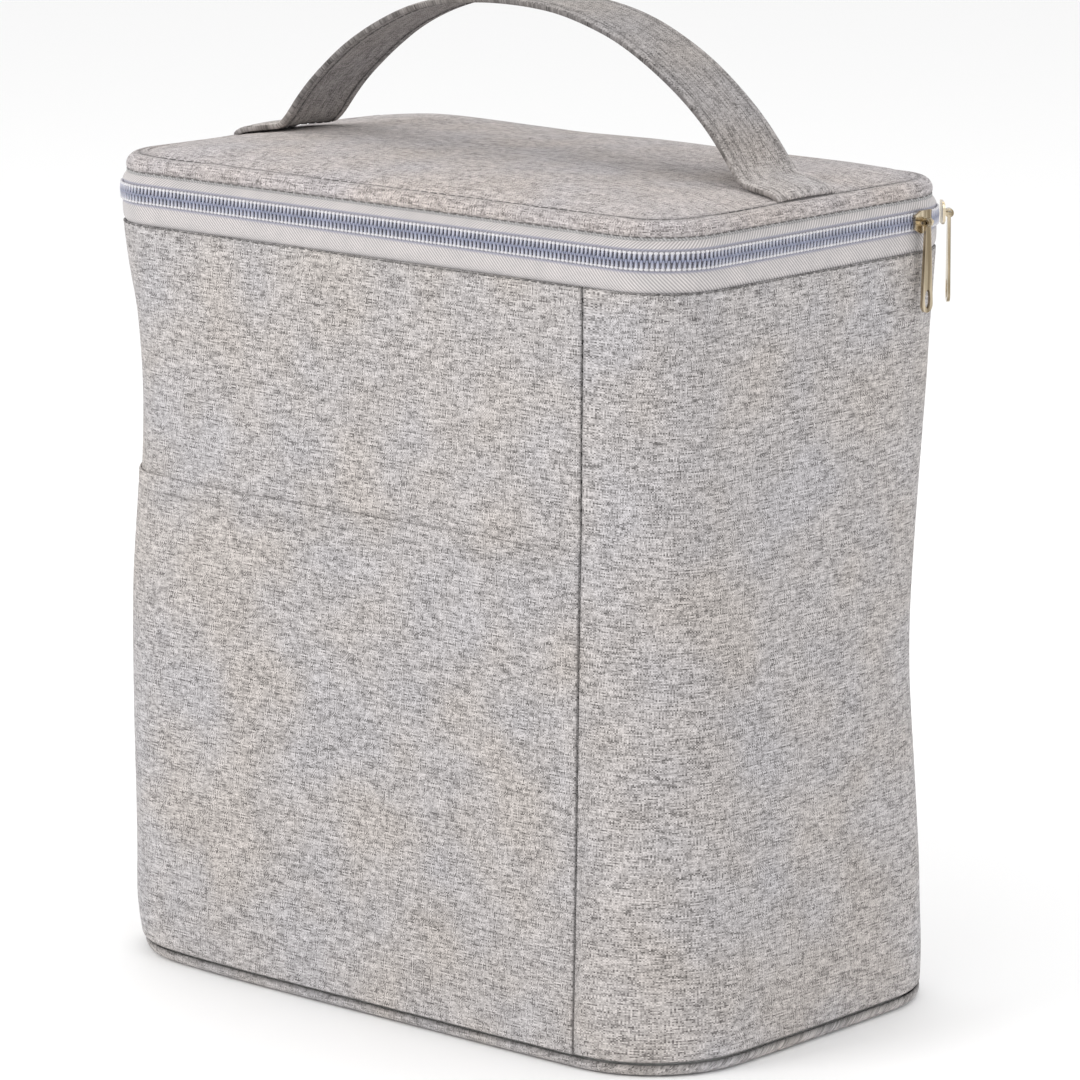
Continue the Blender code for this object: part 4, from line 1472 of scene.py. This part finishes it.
foil = bpy.data.materials.new("foil_liner")
foil.use_nodes = True
nodes = foil.node_tree.nodes
links = foil.node_tree.links
shader = nodes["Principled BSDF"]
shader.label = "foil film"
crease_frame = nodes.new("NodeFrame")
crease_frame.label = "creases"
place = nodes.new("ShaderNodeTexCoord")
place.label = "place on the bag"
warp = nodes.new("ShaderNodeTexNoise")
warp.label = "wandering creases"
crease = nodes.new("ShaderNodeTexVoronoi")
crease.label = "crease lines"
crease_edge = nodes.new("ShaderNodeMapRange")
crease_edge.label = "sharpness of the creases"
soft_crease = nodes.new("ShaderNodeBump")
soft_crease.label = "soft folds"
sharp_crease = nodes.new("ShaderNodeBump")
sharp_crease.label = "sharp folds"
film_frame = nodes.new("NodeFrame")
film_frame.label = "film and wear"
tarnish = nodes.new("ShaderNodeTexNoise")
tarnish.label = "handling marks"
tone = nodes.new("ShaderNodeValToRGB")
tone.label = "bright and dull film"
rough = nodes.new("ShaderNodeMapRange")
rough.label = "scuffed film"
for row, (group, members) in enumerate((
    (crease_frame, (place, warp, crease, crease_edge, soft_crease, sharp_crease)),
    (film_frame, (tarnish, tone, rough)),
)):
    for step, node in enumerate(members):
        node.parent = group
        node.location = (-1500 + 220 * step, 300 - 360 * row)
warp.inputs["Scale"].default_value = 55.0
warp.inputs["Detail"].default_value = 3.0
crease.feature = "DISTANCE_TO_EDGE"
crease.inputs["Scale"].default_value = 85.0
crease_edge.inputs["From Max"].default_value = 0.12
soft_crease.inputs["Strength"].default_value = 0.7
soft_crease.inputs["Distance"].default_value = 0.0015
sharp_crease.inputs["Strength"].default_value = 0.45
sharp_crease.inputs["Distance"].default_value = 0.0004
tarnish.inputs["Scale"].default_value = 35.0
tarnish.inputs["Detail"].default_value = 6.0
tone.color_ramp.elements[0].color = (0.42, 0.43, 0.45, 1.0)
tone.color_ramp.elements[1].color = (0.66, 0.67, 0.69, 1.0)
rough.inputs["To Min"].default_value = 0.22
rough.inputs["To Max"].default_value = 0.45
shader.inputs["Metallic"].default_value = 0.85
links.new(place.outputs["Object"], warp.inputs["Vector"])
links.new(place.outputs["Object"], crease.inputs["Vector"])
links.new(crease.outputs["Distance"], crease_edge.inputs["Value"])
links.new(warp.outputs["Fac"], soft_crease.inputs["Height"])
links.new(crease_edge.outputs["Result"], sharp_crease.inputs["Height"])
links.new(soft_crease.outputs["Normal"], sharp_crease.inputs["Normal"])
links.new(sharp_crease.outputs["Normal"], shader.inputs["Normal"])
links.new(place.outputs["Object"], tarnish.inputs["Vector"])
links.new(tarnish.outputs["Fac"], tone.inputs["Fac"])
links.new(tone.outputs["Color"], shader.inputs["Base Color"])
links.new(tarnish.outputs["Fac"], rough.inputs["Value"])
links.new(rough.outputs["Result"], shader.inputs["Roughness"])

LINER_INSET = 0.0058
liner_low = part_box("liner")[0].z
liner_heights = spaced(liner_low + 0.0010, panel_high, 46)
liner_points = []
liner_uvs = []
for column in liner_columns:
    corner, _ = wall_at(column, liner_low, LINER_INSET + 0.0008)
    line = [Vector((corner.x * share, corner.y * share, liner_low + 0.0004)) for share in (0.03, 0.3, 0.6, 0.85, 1.0)]
    for z in liner_heights:
        spot, outward = wall_at(column, z, LINER_INSET)
        pucker = 0.0009 * abs(noise.noise(spot * 60.0)) + 0.0006 * abs(noise.noise(spot * 140.0))
        spot += outward * (soft_dents(wall_at(column, z)[0]) - pucker) * min(1.0, (panel_high - z) / 0.01)
        line.append(spot)
    liner_points.append(line)
    liner_uvs.append([(spot.x + spot.y, spot.z) for spot in line])
liner_cup = cloth_grid("liner_cup", liner_points, liner_uvs, wrap=1e-9)
close_middle(liner_cup)
give_body(liner_cup, 0.0003)
liner_cup.data.materials.append(foil)
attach(liner_cup, "bag")
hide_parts("liner")

lid_liner_drop = LID_CROWN_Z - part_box("lid_liner")[1].z


def lid_liner_ripple(x, y, scale):
    """Small crinkles of the foil under the lid, all downwards."""
    spot = Vector((x * 60.0, y * 60.0, 5.0))
    return -0.0008 * abs(noise.noise(spot)) * min(1.0, (1.0 - scale) / 0.05)


lid_foil = domed_sheet("lid_foil", (1.0, 0.97, 0.93, 0.88, 0.82, 0.75, 0.67, 0.58, 0.48, 0.38, 0.27, 0.16, 0.04),
                       lambda scale: lid_height(scale) - lid_liner_drop, lid_liner_ripple, 0.0004)
lid_foil.data.materials.append(foil)
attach(lid_foil, "lid")
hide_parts("lid_liner")

binding_tape = twill_tape("binding_tape", (0.46, 0.45, 0.45), (0.36, 0.35, 0.35), (0.20, 0.20, 0.21))
for name, body, node, inner, outer in (
    ("mouth_edge", "bag", "mouth_binding", 0.0062, 0.0021),
    ("lid_inner_edge", "lid", "lid_binding", 0.0046, 0.0016),
):
    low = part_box(node)[0].z
    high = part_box(node)[1].z
    middle = (inner + outer) / 2
    reach = (inner - outer) / 2
    profile = []
    for step in range(13):
        turn = math.radians(-90 + 30 * step)
        bulge = 1.0 + 0.12 * abs(math.sin(2 * turn))
        profile.append((middle - reach * math.cos(turn) * bulge, (low + high) / 2 + (high - low) / 2 * math.sin(turn)))
    binding = rim_band(name, full_rim(), profile, wrap=True)
    work = bmesh.new()
    work.from_mesh(binding.data)
    bmesh.ops.remove_doubles(work, verts=work.verts, dist=0.00002)
    bmesh.ops.recalc_face_normals(work, faces=work.faces)
    work.to_mesh(binding.data)
    work.free()
    binding.data.materials.append(binding_tape)
    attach(binding, body)
    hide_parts(node)


# ---- Sliders, pulls and stops --------------------------------------------------------------
# Pale gold plated castings and stampings, with soft edges and fine rubbing marks. Their
# colour runs in long upright dark and bright streaks: painted reflections.

plated = bpy.data.materials.new("pale_plating")
plated.use_nodes = True
nodes = plated.node_tree.nodes
links = plated.node_tree.links
shader = nodes["Principled BSDF"]
shader.label = "pale gold plating"
rub_frame = nodes.new("NodeFrame")
rub_frame.label = "rubbing marks"
place = nodes.new("ShaderNodeTexCoord")
place.label = "place on the bag"
stretch = nodes.new("ShaderNodeMapping")
stretch.label = "long upright scratches"
scratch = nodes.new("ShaderNodeTexNoise")
scratch.label = "fine scratches"
scratch_bump = nodes.new("ShaderNodeBump")
scratch_bump.label = "scratch relief"
rough = nodes.new("ShaderNodeMapRange")
rough.label = "dulled by the scratches"
plate_frame = nodes.new("NodeFrame")
plate_frame.label = "plating and wear"
bands = nodes.new("ShaderNodeMapping")
bands.label = "long upright bands"
painted_reflection_streaks = nodes.new("ShaderNodeTexNoise")
painted_reflection_streaks.label = "uneven plating"
painted_reflection_colour = nodes.new("ShaderNodeValToRGB")
painted_reflection_colour.label = "nickel to pale gold"
for row, (group, members) in enumerate((
    (rub_frame, (place, stretch, scratch, scratch_bump, rough)),
    (plate_frame, (bands, painted_reflection_streaks, painted_reflection_colour)),
)):
    for step, node in enumerate(members):
        node.parent = group
        node.location = (-1300 + 220 * step, 300 - 360 * row)
stretch.inputs["Scale"].default_value = (2600.0, 2600.0, 240.0)
scratch.inputs["Scale"].default_value = 1.0
scratch.inputs["Detail"].default_value = 4.0
scratch_bump.inputs["Strength"].default_value = 0.15
scratch_bump.inputs["Distance"].default_value = 0.00005
rough.inputs["To Min"].default_value = 0.14
rough.inputs["To Max"].default_value = 0.34
bands.inputs["Scale"].default_value = (520.0, 520.0, 30.0)
painted_reflection_streaks.inputs["Scale"].default_value = 1.0
# painted reflections: the colour runs from dark bronze to pale gold in long upright streaks, standing in for reflected
# surroundings
painted_reflection_colour.color_ramp.elements[0].position = 0.35
painted_reflection_colour.color_ramp.elements[0].color = (0.24, 0.19, 0.12, 1.0)
painted_reflection_colour.color_ramp.elements[1].position = 0.62
painted_reflection_colour.color_ramp.elements[1].color = (0.72, 0.62, 0.46, 1.0)
shader.inputs["Metallic"].default_value = 1.0
links.new(place.outputs["Object"], stretch.inputs["Vector"])
links.new(stretch.outputs["Vector"], scratch.inputs["Vector"])
links.new(scratch.outputs["Fac"], scratch_bump.inputs["Height"])
links.new(scratch_bump.outputs["Normal"], shader.inputs["Normal"])
links.new(scratch.outputs["Fac"], rough.inputs["Value"])
links.new(rough.outputs["Result"], shader.inputs["Roughness"])
links.new(place.outputs["Object"], bands.inputs["Vector"])
links.new(bands.outputs["Vector"], painted_reflection_streaks.inputs["Vector"])
links.new(painted_reflection_streaks.outputs["Fac"], painted_reflection_colour.inputs["Fac"])
links.new(painted_reflection_colour.outputs["Color"], shader.inputs["Base Color"])

for node in ("slider_a", "slider_b", "pull_a", "pull_b", "zip_stop_left", "zip_stop_right"):
    casting = bpy.data.objects[node]
    for slot in casting.material_slots:
        slot.material = plated
    edge = casting.modifiers.new("soft_edges", "BEVEL")
    edge.width = 0.00018
    edge.segments = 2
    edge.limit_method = "ANGLE"


# ---- Sizes and finish ----------------------------------------------------------------------

low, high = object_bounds()
{"cad": [list(cad_low), list(cad_high)], "visual": [list(low), list(high)]}
